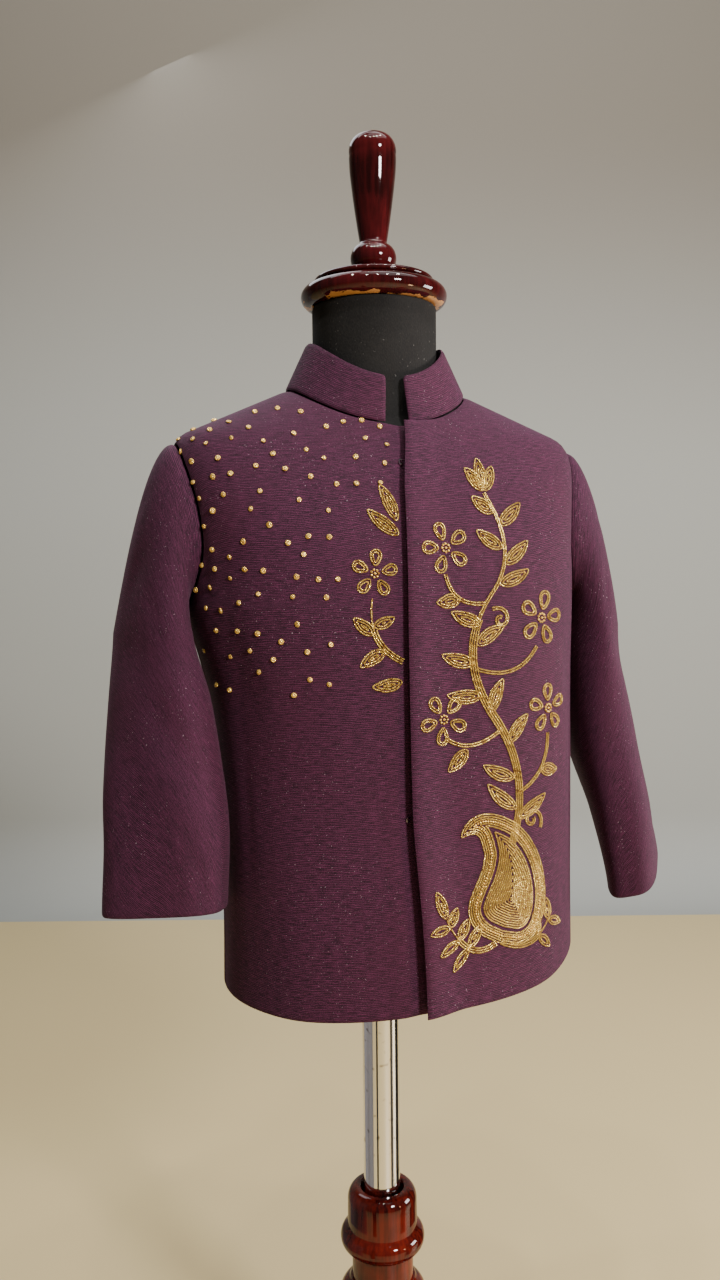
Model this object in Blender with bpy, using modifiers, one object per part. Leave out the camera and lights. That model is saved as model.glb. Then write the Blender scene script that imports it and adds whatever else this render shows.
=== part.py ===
"""A child's bandhgala jacket, worn hollow on a small dress form with a turned wooden stand.

The garment is cut as a tailor cuts it: two fronts that lap at the centre, a back, two sleeves and a
stand-up collar, each a thin wall. Metres, +Z up, the fronts face -Y, +X is the wearer's left, and the
origin is the centre of the stand's foot on the floor.
"""

import math
from collections import namedtuple

import bmesh
import bpy
from mathutils import Vector

# Cloth and the gap between sewn pieces
WALL = 0.0022
SEAM_GAP = 0.0003

# Heights of the garment
HEM_Z = 0.375
HEM_TILT = 0.045
HEM_RISE = 0.0100
HEM_RISE_SKEW = 0.0035
ARMPIT_Z = 0.630
SHOULDER_TIP_Z = 0.735
CHEST_TURN_Z = 0.706
BACK_TURN_Z = 0.722
NECK_FRONT_Z = 0.742
NECK_SIDE_Z = 0.768
NECK_BACK_Z = 0.770
COLLAR_HEIGHT_FRONT = 0.030
COLLAR_HEIGHT_BACK = 0.031

# Half sizes of the plan rings above the armpit, and how square each ring is
SHOULDER_HALF_WIDTH = 0.1355
SHOULDER_FRONT_DEPTH = 0.073
SHOULDER_BACK_DEPTH = 0.068
SHOULDER_POWER = 2.4
NECK_HALF_WIDTH = 0.060
NECK_FRONT_DEPTH = 0.052
NECK_BACK_DEPTH = 0.050
NECK_POWER = 2.05
COLLAR_TOP_HALF_WIDTH = 0.0455
COLLAR_TOP_FRONT_DEPTH = 0.0465
COLLAR_TOP_BACK_DEPTH = 0.0455

# How far each side of the shoulder's turn the surface is rounded, as a share of its climb
TURN_AT_SIDE = 0.13
TURN_AT_FRONT = 0.85

# How late the chest starts to lean in over the armpit's ring: 1 is a straight lean
CHEST_BOW = 1.6

# The armhole, in degrees either side of the side seam
ARMHOLE_FRONT_ANGLE = 22.5
ARMHOLE_BACK_ANGLE = 23.5

# The lap of the left front over the right one
LapRow = namedtuple("LapRow", "z edge_x")
LAP_EDGE = (
    LapRow(0.742, 0.0030),
    LapRow(0.700, -0.0027),
    LapRow(0.620, -0.0045),
    LapRow(0.500, -0.0020),
    LapRow(0.430, 0.0035),
    LapRow(HEM_Z, 0.0060),
)
UNDERLAP = 0.0140
UNDERLAP_INSET = 0.0018
UNDERLAP_RAMP = 0.0140
LAP_LIFT_NECK = 0.0018
LAP_LIFT_HEM = 0.0036
LAP_LIFT_WIDTH = 0.0300
COLLAR_OPENING_HALF = 0.0075

# Mesh density
BODY_ROWS = 8
ARMHOLE_ROWS = 10
SHOULDER_ROWS = 5
FRONT_COLUMNS = 14
BACK_COLUMNS = 20
CAP_RINGS = 6
SLEEVE_RINGS = 9
SLEEVE_POINTS = 24
COLLAR_COLUMNS = 30
COLLAR_ROWS = 2

# The dress form inside the jacket
FORM_BOTTOM_Z = 0.398
FORM_TOP_Z = 0.8235
FORM_NECK_RADIUS = 0.0410
FORM_CLEAR_HEM = 0.0120
FORM_CLEAR_CHEST = 0.0060
FORM_CLEAR_SHOULDER = 0.0004
FORM_TIP_INSET = 0.0100
FORM_SIDES = 32

# The turned wood and the pole
TURNED_STEPS = 24
POLE_RADIUS = 0.0127
SOCKET_RADIUS = 0.0147
SOCKET_FLOOR_Z = 0.170
HUB_TOP_Z = 0.2225
HUB_LOW_Z = 0.1580
FOOT_HEIGHT = 0.030
FOOT_RADIUS = 0.145
CAP_RIM_RADIUS = 0.0483
CAP_DISC_RADIUS = 0.0394
CAP_HEIGHT = 0.0190
FINIAL_TOP_Z = 0.9360

# The body's rings below the armpit
Section = namedtuple("Section", "z centre_x half_width front_depth back_depth power")
BODY_SECTIONS = (
    Section(HEM_Z, 0.0145, 0.1215, 0.0800, 0.0740, 2.16),
    Section(0.430, 0.0140, 0.1205, 0.0800, 0.0720, 2.26),
    Section(0.500, 0.0125, 0.1210, 0.0795, 0.0705, 2.40),
    Section(0.570, 0.0095, 0.1230, 0.0820, 0.0740, 2.50),
    Section(ARMPIT_Z, 0.0030, 0.1300, 0.0820, 0.0780, 2.60),
)

# A sleeve's rings below its cap: outward and forward place the centre, long and short are half sizes,
# and turn is where the long way points, in degrees from straight out round towards the front
Ring = namedtuple("Ring", "z outward forward long short turn")
RIGHT_SLEEVE = (
    Ring(0.612, 0.1500, 0.009, 0.0420, 0.0185, 112.0),
    Ring(0.575, 0.1475, 0.019, 0.0400, 0.0235, 122.0),
    Ring(0.535, 0.1465, 0.026, 0.0385, 0.0250, 135.0),
    Ring(0.490, 0.1450, 0.031, 0.0375, 0.0260, 150.0),
    Ring(0.441, 0.1470, 0.031, 0.0375, 0.0260, 160.0),
)
LEFT_SLEEVE = (
    Ring(0.612, 0.1520, 0.000, 0.0410, 0.0190, 90.0),
    Ring(0.575, 0.1565, 0.000, 0.0420, 0.0210, 95.0),
    Ring(0.529, 0.1650, 0.003, 0.0430, 0.0225, 103.0),
    Ring(0.485, 0.1770, 0.007, 0.0440, 0.0205, 112.0),
    Ring(0.433, 0.1885, 0.010, 0.0440, 0.0170, 122.0),
)
# How far a cuff's plane tips: the rise outwards, and the rise towards the front
Tip = namedtuple("Tip", "outward forward")
RIGHT_CUFF = Tip(0.00, 0.15)
LEFT_CUFF = Tip(0.30, 0.00)
CAP_REACH_TOP = 0.0190
CAP_REACH_SIDE = 0.0170
CAP_REACH_UNDER = 0.0030
SLEEVE_SET_OFF = 0.0005

# Soft folds in a sleeve: height and turn of the middle, half sizes, slant in degrees a metre, and depth
Fold = namedtuple("Fold", "z turn half_height half_turn slant depth")
RIGHT_FOLDS = (
    Fold(0.655, 35.0, 0.022, 20.0, 700.0, -0.0026),
    Fold(0.560, 75.0, 0.030, 26.0, -650.0, -0.0028),
    Fold(0.520, 20.0, 0.026, 22.0, 500.0, 0.0018),
    Fold(0.585, -120.0, 0.035, 26.0, 420.0, -0.0024),
)
LEFT_FOLDS = (
    Fold(0.600, 62.0, 0.028, 24.0, 600.0, -0.0026),
    Fold(0.530, 30.0, 0.034, 24.0, -420.0, -0.0018),
    Fold(0.560, -110.0, 0.035, 26.0, 360.0, -0.0024),
)

# Soft drape in the body: angle and height of the middle, half sizes, and depth
Drape = namedtuple("Drape", "angle z half_angle half_height depth")
BODY_DRAPES = (
    Drape(-148.0, 0.600, 10.0, 0.060, -0.0026),
    Drape(-30.0, 0.590, 10.0, 0.055, -0.0024),
    Drape(-132.0, 0.420, 12.0, 0.070, 0.0022),
    Drape(-52.0, 0.430, 12.0, 0.070, 0.0018),
    Drape(52.0, 0.560, 12.0, 0.110, -0.0028),
    Drape(128.0, 0.560, 12.0, 0.110, -0.0028),
    Drape(90.0, 0.440, 16.0, 0.090, 0.0024),
)

# The colour, roughness and metallic value of each material
PLUM = ((0.080, 0.026, 0.066, 1.0), 0.85, 0.0)
BLACK = ((0.010, 0.010, 0.011, 1.0), 0.90, 0.0)
WOOD = ((0.070, 0.008, 0.007, 1.0), 0.12, 0.0)
CHROME = ((0.80, 0.80, 0.80, 1.0), 0.12, 1.0)


def mix(a, b, t):
    """The value a share t of the way from a to b."""
    return a + (b - a) * t


def ease(t):
    """A smooth step from 0 to 1."""
    t = min(1.0, max(0.0, t))
    return t * t * (3.0 - 2.0 * t)


def signed_power(value, power):
    """The power of a value's size, with its sign kept."""
    return math.copysign(abs(value) ** power, value)


def smooth_row(table, z):
    """A row of a table at height z, on a smooth curve through the rows."""
    rows = sorted(table, key=lambda row: row.z)
    z = min(rows[-1].z, max(rows[0].z, z))
    last = max(i for i in range(len(rows) - 1) if rows[i].z <= z)
    before, low = rows[max(last - 1, 0)], rows[last]
    high, after = rows[last + 1], rows[min(last + 2, len(rows) - 1)]
    t = (z - low.z) / (high.z - low.z)
    made = []
    for a, b, c, d in zip(before, low, high, after):
        rise_b, rise_c = (c - a) / 2, (d - b) / 2
        made.append(
            (2 * t**3 - 3 * t**2 + 1) * b
            + (t**3 - 2 * t**2 + t) * rise_b
            + (3 * t**2 - 2 * t**3) * c
            + (t**3 - t**2) * rise_c
        )
    return type(low)(z, *made[1:])


def ring_point(angle, half_width, front, back, z, power, centre_x=0.0):
    """A point on a rounded ring at an angle in degrees: 0 is +X and -90 is the front."""
    across = math.cos(math.radians(angle))
    along = math.sin(math.radians(angle))
    depth = back if along > 0 else front
    x = centre_x + half_width * signed_power(across, 2 / power)
    return Vector((x, depth * signed_power(along, 2 / power), z))


def front_share(angle):
    """How far an angle faces the front, from 0 at the sides and back to 1."""
    return max(0.0, -math.sin(math.radians(angle)))


def back_share(angle):
    """How far an angle faces the back, from 0 at the sides and front to 1."""
    return max(0.0, math.sin(math.radians(angle)))


def body_ring(angle, z):
    """The body at or below the armpit, at one height."""
    row = smooth_row(BODY_SECTIONS, z)
    return ring_point(
        angle, row.half_width, row.front_depth, row.back_depth, z, row.power, row.centre_x
    )


def shoulder_ring(angle):
    """Where the chest and the back turn into the shoulder."""
    side = abs(math.cos(math.radians(angle))) ** 2.4
    turn = CHEST_TURN_Z if front_share(angle) > 0 else BACK_TURN_Z
    return ring_point(
        angle,
        SHOULDER_HALF_WIDTH,
        SHOULDER_FRONT_DEPTH,
        SHOULDER_BACK_DEPTH,
        mix(turn, SHOULDER_TIP_Z, side),
        SHOULDER_POWER,
    )


def neck_height(angle):
    """The height of the neck seam."""
    dip = (NECK_SIDE_Z - NECK_FRONT_Z) * front_share(angle) ** 1.7
    rise = (NECK_BACK_Z - NECK_SIDE_Z) * back_share(angle)
    return NECK_SIDE_Z - dip + rise


def neck_ring(angle):
    """The neck seam."""
    return ring_point(
        angle,
        NECK_HALF_WIDTH,
        NECK_FRONT_DEPTH,
        NECK_BACK_DEPTH,
        neck_height(angle),
        NECK_POWER,
    )


def drape_at(angle, z):
    """How far the body's drape moves the cloth out at this place."""
    total = 0.0
    for fold in BODY_DRAPES:
        round_it = (angle - fold.angle + 180.0) % 360.0 - 180.0
        across = (round_it / fold.half_angle) ** 2
        up = ((z - fold.z) / fold.half_height) ** 2
        total += fold.depth * math.exp(-across - up)
    return total


def hem_lift(x):
    """How far the hem stands above its middle height: it leans, and it rises to both side seams."""
    hem = BODY_SECTIONS[0]
    side = (x - hem.centre_x) / hem.half_width
    return HEM_TILT * x + HEM_RISE * side**4 + HEM_RISE_SKEW * side**5


def body_point(angle, climb):
    """The jacket's outer surface: climb is -1 at the hem, 0 at the armpit and 2 at the neck."""
    if climb <= 0.0:
        point = body_ring(angle, mix(ARMPIT_Z, HEM_Z, -climb))
        point.z += hem_lift(point.x) * climb * climb
    else:
        low, turn, high = body_ring(angle, ARMPIT_Z), shoulder_ring(angle), neck_ring(angle)
        side = abs(math.cos(math.radians(angle))) ** 3
        soft = mix(TURN_AT_FRONT, TURN_AT_SIDE, side)
        up, over = min(climb, 1.0), max(climb - 1.0, 0.0)
        if abs(climb - 1.0) < soft:
            up = 1.0 - (1.0 + soft - climb) ** 2 / (4.0 * soft)
            over = (climb - 1.0 + soft) ** 2 / (4.0 * soft)
        bow = up**CHEST_BOW
        point = low + (turn - low) * bow + (high - turn) * over
        point.z += (turn.z - low.z) * (up - bow)
    outward = Vector((point.x, point.y, 0.0)).normalized()
    return point + outward * drape_at(angle, point.z)


def body_normal(angle, climb):
    """The outward direction of the jacket's surface."""
    across = body_point(angle + 1.5, climb) - body_point(angle - 1.5, climb)
    up = body_point(angle, min(2.0, climb + 0.03)) - body_point(angle, max(-1.0, climb - 0.03))
    return across.cross(up).normalized()


def armhole_angle(climb, widest):
    """How far the armhole reaches round from the side seam at this height, in degrees."""
    if climb <= 0.0 or climb >= 1.0:
        return 0.0
    level = 2.0 * climb - 1.0
    return widest * math.sqrt(1.0 - level * level)


def lap_edge(climb):
    """Where the upper front's edge lies, as an x value."""
    return smooth_row(LAP_EDGE, body_point(-90.0, climb).z).edge_x


def angle_at_x(climb, x):
    """The angle near the centre front where the surface has this x."""
    low, high = -125.0, -55.0
    for _ in range(30):
        middle = (low + high) / 2
        if body_point(middle, climb).x < x:
            low = middle
        else:
            high = middle
    return (low + high) / 2


def climbs():
    """The heights of the rows of a body panel, from the hem to the neck."""
    below = [-1.0 + i / BODY_ROWS for i in range(BODY_ROWS)]
    armhole = [(1.0 - math.cos(math.pi * i / ARMHOLE_ROWS)) / 2 for i in range(ARMHOLE_ROWS)]
    over = [1.0 + i / SHOULDER_ROWS for i in range(SHOULDER_ROWS + 1)]
    return below + armhole + over


def clear_scene():
    """Remove what the file starts with."""
    for thing in list(bpy.data.objects):
        bpy.data.objects.remove(thing)


def collection(name):
    """A new collection in the scene."""
    made = bpy.data.collections.new(name)
    bpy.context.scene.collection.children.link(made)
    return made


def material(name, look):
    """A Principled material of one colour, roughness and metallic value."""
    made = bpy.data.materials.new(name)
    made.use_nodes = True
    shader = made.node_tree.nodes["Principled BSDF"]
    colour, roughness, metallic = look
    shader.inputs["Base Color"].default_value = colour
    shader.inputs["Roughness"].default_value = roughness
    shader.inputs["Metallic"].default_value = metallic
    made.diffuse_color = colour
    return made


def mesh_object(name, shape, home, finish):
    """Put a bmesh in the scene as a named, smoothly shaded piece."""
    bmesh.ops.recalc_face_normals(shape, faces=shape.faces)
    mesh = bpy.data.meshes.new(name)
    shape.to_mesh(mesh)
    shape.free()
    mesh.shade_smooth()
    mesh.set_sharp_from_angle(angle=math.radians(50))
    mesh.materials.append(finish)
    piece = bpy.data.objects.new(name, mesh)
    home.objects.link(piece)
    return piece


def wall_piece(name, outer, inner, home, finish, around=False):
    """A closed cloth wall between two grids of points. around makes it a tube, open at both ends."""
    shape = bmesh.new()
    sides = [[[shape.verts.new(point) for point in row] for row in grid] for grid in (outer, inner)]
    rows, columns = len(outer), len(outer[0])
    for grid in sides:
        for j in range(rows - 1):
            for i in range(columns if around else columns - 1):
                k = (i + 1) % columns
                shape.faces.new((grid[j][i], grid[j][k], grid[j + 1][k], grid[j + 1][i]))
    out, back = sides
    for j in (0, rows - 1):
        for i in range(columns if around else columns - 1):
            k = (i + 1) % columns
            shape.faces.new((out[j][i], out[j][k], back[j][k], back[j][i]))
    if not around:
        for i in (0, columns - 1):
            for j in range(rows - 1):
                shape.faces.new((out[j][i], out[j + 1][i], back[j + 1][i], back[j][i]))
    return mesh_object(name, shape, home, finish)


def trimmed(row, start, end):
    """A row of points with its ends pulled in along it by these lengths."""
    row = list(row)
    row[0] = row[0] + (row[1] - row[0]).normalized() * start
    row[-1] = row[-1] + (row[-2] - row[-1]).normalized() * end
    return row


def lap_offset(side, climb, x):
    """How far a front stands off the body's surface near the lap: side 1 is the upper front."""
    edge = lap_edge(climb)
    if side > 0:
        lift = mix(LAP_LIFT_NECK, LAP_LIFT_HEM, ease(-climb))
        return lift * (1.0 - ease((x - edge) / LAP_LIFT_WIDTH))
    return -UNDERLAP_INSET * ease((x - edge + UNDERLAP_RAMP) / UNDERLAP_RAMP)


def panel_grids(row_of_angles, ends, offset):
    """Outer and inner points of a body panel. row_of_angles gives each row's angles at its climb."""
    outer, inner = [], []
    for climb in climbs():
        row, normals = [], []
        for angle in row_of_angles(climb):
            point = body_point(angle, climb)
            normal = body_normal(angle, climb)
            row.append(point + normal * offset(climb, point.x))
            normals.append(normal)
        row = trimmed(row, *ends)
        outer.append(row)
        inner.append([point - normal * WALL for point, normal in zip(row, normals)])
    return outer, inner


def front_panel(side, home, finish):
    """A front: side is 1 for the wearer's left one, which laps over, and -1 for the right one."""

    def angles(climb):
        edge = armhole_angle(climb, ARMHOLE_FRONT_ANGLE)
        if side > 0:
            start, end = angle_at_x(climb, lap_edge(climb)), -edge
        else:
            start, end = angle_at_x(climb, lap_edge(climb) + UNDERLAP), edge - 180.0
        return [mix(start, end, i / FRONT_COLUMNS) for i in range(FRONT_COLUMNS + 1)]

    outer, inner = panel_grids(
        angles, (0.0, SEAM_GAP / 2), lambda climb, x: lap_offset(side, climb, x)
    )
    wall_piece("front_left" if side > 0 else "front_right", outer, inner, home, finish)


def back_panel(home, finish):
    """The back, in one piece from side seam to side seam."""

    def angles(climb):
        edge = armhole_angle(climb, ARMHOLE_BACK_ANGLE)
        return [mix(edge, 180.0 - edge, i / BACK_COLUMNS) for i in range(BACK_COLUMNS + 1)]

    outer, inner = panel_grids(angles, (SEAM_GAP / 2, SEAM_GAP / 2), lambda climb, x: 0.0)
    wall_piece("back", outer, inner, home, finish)


def collar_point(angle, share):
    """The stand-up collar's outer surface, from its seam to its top edge."""
    low = neck_ring(angle)
    rise = mix(COLLAR_HEIGHT_FRONT, COLLAR_HEIGHT_BACK, 1.0 - front_share(angle))
    high = ring_point(
        angle,
        COLLAR_TOP_HALF_WIDTH,
        COLLAR_TOP_FRONT_DEPTH,
        COLLAR_TOP_BACK_DEPTH,
        low.z + rise,
        2.0,
    )
    point = low.lerp(high, share)
    point.z += 2 * SEAM_GAP * (1.0 - share)
    return point


def collar(home, finish):
    """The stand-up collar, open at the centre front."""
    gap = math.degrees(math.asin(COLLAR_OPENING_HALF / NECK_HALF_WIDTH))
    outer, inner = [], []
    for j in range(COLLAR_ROWS + 1):
        share = j / COLLAR_ROWS
        row, inner_row = [], []
        for i in range(COLLAR_COLUMNS + 1):
            angle = mix(-90.0 + gap, 270.0 - gap, i / COLLAR_COLUMNS)
            point = collar_point(angle, share)
            row.append(point)
            inward = Vector((-point.x, -point.y, 0.0)).normalized()
            inner_row.append(point + inward * WALL)
        outer.append(row)
        inner.append(inner_row)
    wall_piece("collar", outer, inner, home, finish)


def armhole_point(side, turn):
    """The armhole's edge: turn is 0 at the shoulder tip, 90 at the front and 180 under the arm."""
    climb = (1.0 + math.cos(math.radians(turn))) / 2.0
    reach = math.sin(math.radians(turn))
    angle = -(ARMHOLE_FRONT_ANGLE if reach > 0 else ARMHOLE_BACK_ANGLE) * reach
    return body_point(angle if side > 0 else 180.0 - angle, climb)


def sleeve_ring_point(side, rings, turn, z, cuff):
    """A point on a sleeve's ring below the cap: turn is 0 straight out and 90 at the front."""
    ring = smooth_row(rings, z)
    around = math.radians(turn - ring.turn)
    way = math.radians(ring.turn)
    along, across = ring.long * math.cos(around), ring.short * math.sin(around)
    out = along * math.cos(way) - across * math.sin(way)
    forward = along * math.sin(way) + across * math.cos(way)
    lift = out * cuff.outward + forward * cuff.forward
    lift *= ease((rings[0].z - z) / (rings[0].z - rings[-1].z))
    return Vector((side * (ring.outward + out), -(ring.forward + forward), z + lift))


def sleeve_point(side, rings, folds, cuff, turn, climb):
    """A sleeve's outer surface: climb is 0 at the armhole, 1 under its cap and 2 at the cuff."""
    if climb <= 1.0:
        start = armhole_point(side, turn) + Vector((side * SLEEVE_SET_OFF, 0.0, 0.0))
        end = sleeve_ring_point(side, rings, turn, rings[0].z, cuff)
        height = math.cos(math.radians(turn))
        reach = mix(CAP_REACH_SIDE, CAP_REACH_TOP if height > 0 else CAP_REACH_UNDER, abs(height))
        middle = start + Vector((side * reach, 0.0, 0.0))
        point = start * (1 - climb) ** 2 + middle * 2 * climb * (1 - climb) + end * climb**2
    else:
        z = mix(rings[0].z, rings[-1].z, climb - 1.0)
        point = sleeve_ring_point(side, rings, turn, z, cuff)
    ring = smooth_row(rings, point.z)
    away = Vector((point.x - side * ring.outward, point.y + ring.forward, 0.0)).normalized()
    depth = 0.0
    for fold in folds:
        centre = fold.turn + fold.slant * (point.z - fold.z)
        round_it = (turn - centre + 180.0) % 360.0 - 180.0
        up = ((point.z - fold.z) / fold.half_height) ** 2
        depth += fold.depth * math.exp(-((round_it / fold.half_turn) ** 2) - up)
    return point + away * depth * ease(climb * 2.0)


def sleeve(side, label, rings, folds, cuff, home, finish):
    """One sleeve, a tube from its armhole to its cuff."""

    def surface(turn, climb):
        return sleeve_point(side, rings, folds, cuff, turn, climb)

    levels = [i / CAP_RINGS for i in range(CAP_RINGS)]
    levels += [1.0 + i / SLEEVE_RINGS for i in range(SLEEVE_RINGS + 1)]
    outer, inner = [], []
    for climb in levels:
        row, inner_row = [], []
        for i in range(SLEEVE_POINTS):
            turn = 360.0 * i / SLEEVE_POINTS
            round_it = surface(turn + 3.0, climb) - surface(turn - 3.0, climb)
            down = surface(turn, min(2.0, climb + 0.04)) - surface(turn, max(0.0, climb - 0.04))
            inward = down.cross(round_it).normalized() * side
            point = surface(turn, climb)
            row.append(point)
            inner_row.append(point + inward * WALL)
        outer.append(row)
        inner.append(inner_row)
    wall_piece(f"sleeve_{label}", outer, inner, home, finish, around=True)


def jacket(home, finish):
    """Every cut piece of the garment."""
    front_panel(1, home, finish)
    front_panel(-1, home, finish)
    back_panel(home, finish)
    collar(home, finish)
    sleeve(1, "left", LEFT_SLEEVE, LEFT_FOLDS, LEFT_CUFF, home, finish)
    sleeve(-1, "right", RIGHT_SLEEVE, RIGHT_FOLDS, RIGHT_CUFF, home, finish)


def form_point(angle, climb):
    """The dress form's surface inside the jacket, clear of the cloth."""
    side = abs(math.cos(math.radians(angle))) ** 2
    seat = ease((climb - 1.0) * 4.0) * side
    clear = mix(FORM_CLEAR_HEM, FORM_CLEAR_CHEST, ease(climb + 1.0))
    clear = mix(clear, FORM_CLEAR_SHOULDER, seat)
    drape = drape_at(angle, body_point(angle, climb).z)
    made = body_point(angle, climb) - body_normal(angle, climb) * (WALL + clear + max(0.0, drape))
    tip = FORM_TIP_INSET * ease(climb * 3.0) * ease((1.45 - climb) * 2.0) * side
    made.x -= math.copysign(tip, made.x)
    return made


def form_body(home, finish):
    """The torso and neck of the dress form, one smooth covered body."""
    low = -(ARMPIT_Z - FORM_BOTTOM_Z) / (ARMPIT_Z - HEM_Z)
    levels = [mix(low, 0.0, i / 4) for i in range(4)]
    levels += [i / 5 for i in range(5)]
    levels += [1.0 + i / 6 for i in range(6)]
    angles = [360.0 * i / FORM_SIDES for i in range(FORM_SIDES)]
    rows = [[form_point(angle, level) for angle in angles] for level in levels]
    for point in rows[0]:
        point.z = FORM_BOTTOM_Z
    shoulder = rows[-1]
    for share in (0.45, 0.8, 1.0):
        row = []
        for angle, below in zip(angles, shoulder):
            turn = math.radians(angle)
            x, y = FORM_NECK_RADIUS * math.cos(turn), FORM_NECK_RADIUS * math.sin(turn)
            row.append(below.lerp(Vector((x, y, neck_height(angle) + 0.006)), share))
        rows.append(row)
    top = [Vector((point.x, point.y, FORM_TOP_Z)) for point in rows[-1]]
    rows.append([a.lerp(b, 0.5) for a, b in zip(rows[-1], top)])
    rows.append(top)
    shape = bmesh.new()
    verts = [[shape.verts.new(point) for point in row] for row in rows]
    for lower, upper in zip(verts, verts[1:]):
        for i in range(FORM_SIDES):
            k = (i + 1) % FORM_SIDES
            shape.faces.new((lower[i], lower[k], upper[k], upper[i]))
    shape.faces.new(verts[0])
    shape.faces.new(verts[-1])
    mesh_object("form_body", shape, home, finish)


def turned_piece(name, profile, home, finish):
    """A lathe-turned solid from radius and height pairs, top to bottom down its outer side."""
    mesh = bpy.data.meshes.new(name)
    shape = bmesh.new()
    points = [shape.verts.new((radius, 0.0, z)) for radius, z in profile]
    for a, b in zip(points, points[1:]):
        shape.edges.new((a, b))
    shape.to_mesh(mesh)
    shape.free()
    mesh.materials.append(finish)
    piece = bpy.data.objects.new(name, mesh)
    home.objects.link(piece)
    screw = piece.modifiers.new("turned", "SCREW")
    screw.steps = TURNED_STEPS
    screw.render_steps = TURNED_STEPS
    screw.use_merge_vertices = True
    screw.merge_threshold = 0.00001
    screw.use_smooth_shade = True


def arc(radius, z, across, up, start, end, count):
    """Profile points on an arc about a centre: 90 degrees is up and 0 is out."""
    made = []
    for i in range(count + 1):
        turn = math.radians(mix(start, end, i / count))
        made.append((radius + across * math.cos(turn), z + up * math.sin(turn)))
    return made


def cap_profile():
    """The stepped disc on the neck: a low disc over a rounded rim."""
    low = FORM_TOP_Z + SEAM_GAP
    return (
        [(0.0, low + CAP_HEIGHT)]
        + arc(CAP_DISC_RADIUS - 0.003, low + CAP_HEIGHT - 0.002, 0.003, 0.002, 90, -60, 4)
        + arc(CAP_RIM_RADIUS - 0.007, low + 0.0068, 0.0070, 0.0068, 75, -90, 8)
        + [(0.0, low)]
    )


def finial_profile():
    """The turned handle: a flattened ball, a thin neck and a long club that swells to the top."""
    low = FORM_TOP_Z + CAP_HEIGHT + 2 * SEAM_GAP
    return (
        [(0.0, FINIAL_TOP_Z)]
        + arc(0.0075, FINIAL_TOP_Z - 0.0110, 0.0081, 0.0108, 80, -10, 5)
        + [(0.0150, 0.9110), (0.0128, 0.8930), (0.0105, 0.8770), (0.0090, 0.8665)]
        + arc(0.0070, low + 0.0130, 0.0082, 0.0095, 70, -70, 6)
        + [(0.0110, low), (0.0, low)]
    )


def hub_profile():
    """The rounded hub that the pole stands in, with its blind socket and a flange ring below."""
    return (
        [(0.0, SOCKET_FLOOR_Z), (SOCKET_RADIUS, SOCKET_FLOOR_Z)]
        + [(SOCKET_RADIUS, HUB_TOP_Z - 0.002)]
        + arc(0.0175, HUB_TOP_Z - 0.0090, 0.0066, 0.0090, 110, 0, 5)
        + [(0.0245, HUB_TOP_Z - 0.0270)]
        + arc(0.0230, HUB_TOP_Z - 0.0355, 0.0063, 0.0080, 70, -70, 6)
        + [(0.0213, HUB_TOP_Z - 0.0480), (0.0213, HUB_LOW_Z), (0.0, HUB_LOW_Z)]
    )


def column_profile():
    """The turned column under the hub: two bulbs, a long taper and a spreading base."""
    top = HUB_LOW_Z - SEAM_GAP
    low = FOOT_HEIGHT + SEAM_GAP
    return (
        [(0.0, top), (0.0225, top)]
        + arc(0.0200, top - 0.0160, 0.0110, 0.0140, 70, -60, 6)
        + [(0.0225, top - 0.0360), (0.0240, top - 0.0520), (0.0235, top - 0.0700)]
        + [(0.0205, top - 0.0860)]
        + arc(0.0230, 0.0620, 0.0110, 0.0120, 60, -60, 5)
        + [(0.0270, 0.0470), (0.0430, low + 0.0060), (0.0450, low), (0.0, low)]
    )


def foot_profile():
    """The round wooden foot on the floor."""
    return (
        [(0.0, FOOT_HEIGHT), (0.0560, FOOT_HEIGHT)]
        + arc(0.1120, FOOT_HEIGHT - 0.0080, 0.0120, 0.0050, 90, 10, 3)
        + arc(FOOT_RADIUS - 0.0090, 0.0100, 0.0090, 0.0080, 90, 0, 4)
        + [(FOOT_RADIUS - 0.0015, 0.0), (0.0, 0.0)]
    )


def pole_profile():
    """The round steel pole, from the hub's socket to the form."""
    low = SOCKET_FLOOR_Z + SEAM_GAP
    high = FORM_BOTTOM_Z - SEAM_GAP
    return [(0.0, high), (POLE_RADIUS, high), (POLE_RADIUS, low), (0.0, low)]


def stand(home, wood, chrome):
    """The turned stand and the trim on the neck."""
    turned_piece("neck_cap", cap_profile(), home, wood)
    turned_piece("finial", finial_profile(), home, wood)
    turned_piece("pole", pole_profile(), home, chrome)
    turned_piece("base_hub", hub_profile(), home, wood)
    turned_piece("base_column", column_profile(), home, wood)
    turned_piece("base_foot", foot_profile(), home, wood)


def main():
    """Build the jacket, the form and the stand."""
    clear_scene()
    home = collection("bandhgala_jacket_on_form")
    jacket(home, material("plum_suiting", PLUM))
    form_body(home, material("black_form_cloth", BLACK))
    stand(home, material("lacquered_wood", WOOD), material("chrome", CHROME))


main()
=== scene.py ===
"""Looks of a child's bandhgala jacket on a dress form.

The cloth is cut and set as fine thin walls on the construction solids, and carries gold handwork laid
as real cords and knots. The stand is turned from lacquered wood round a chrome pole.
"""

import logging
import math
from dataclasses import dataclass, field
from enum import Enum
from typing import Callable, NamedTuple, Sequence

import bmesh
import bpy
from mathutils import Matrix, Vector
from mathutils.bvhtree import BVHTree


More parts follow.
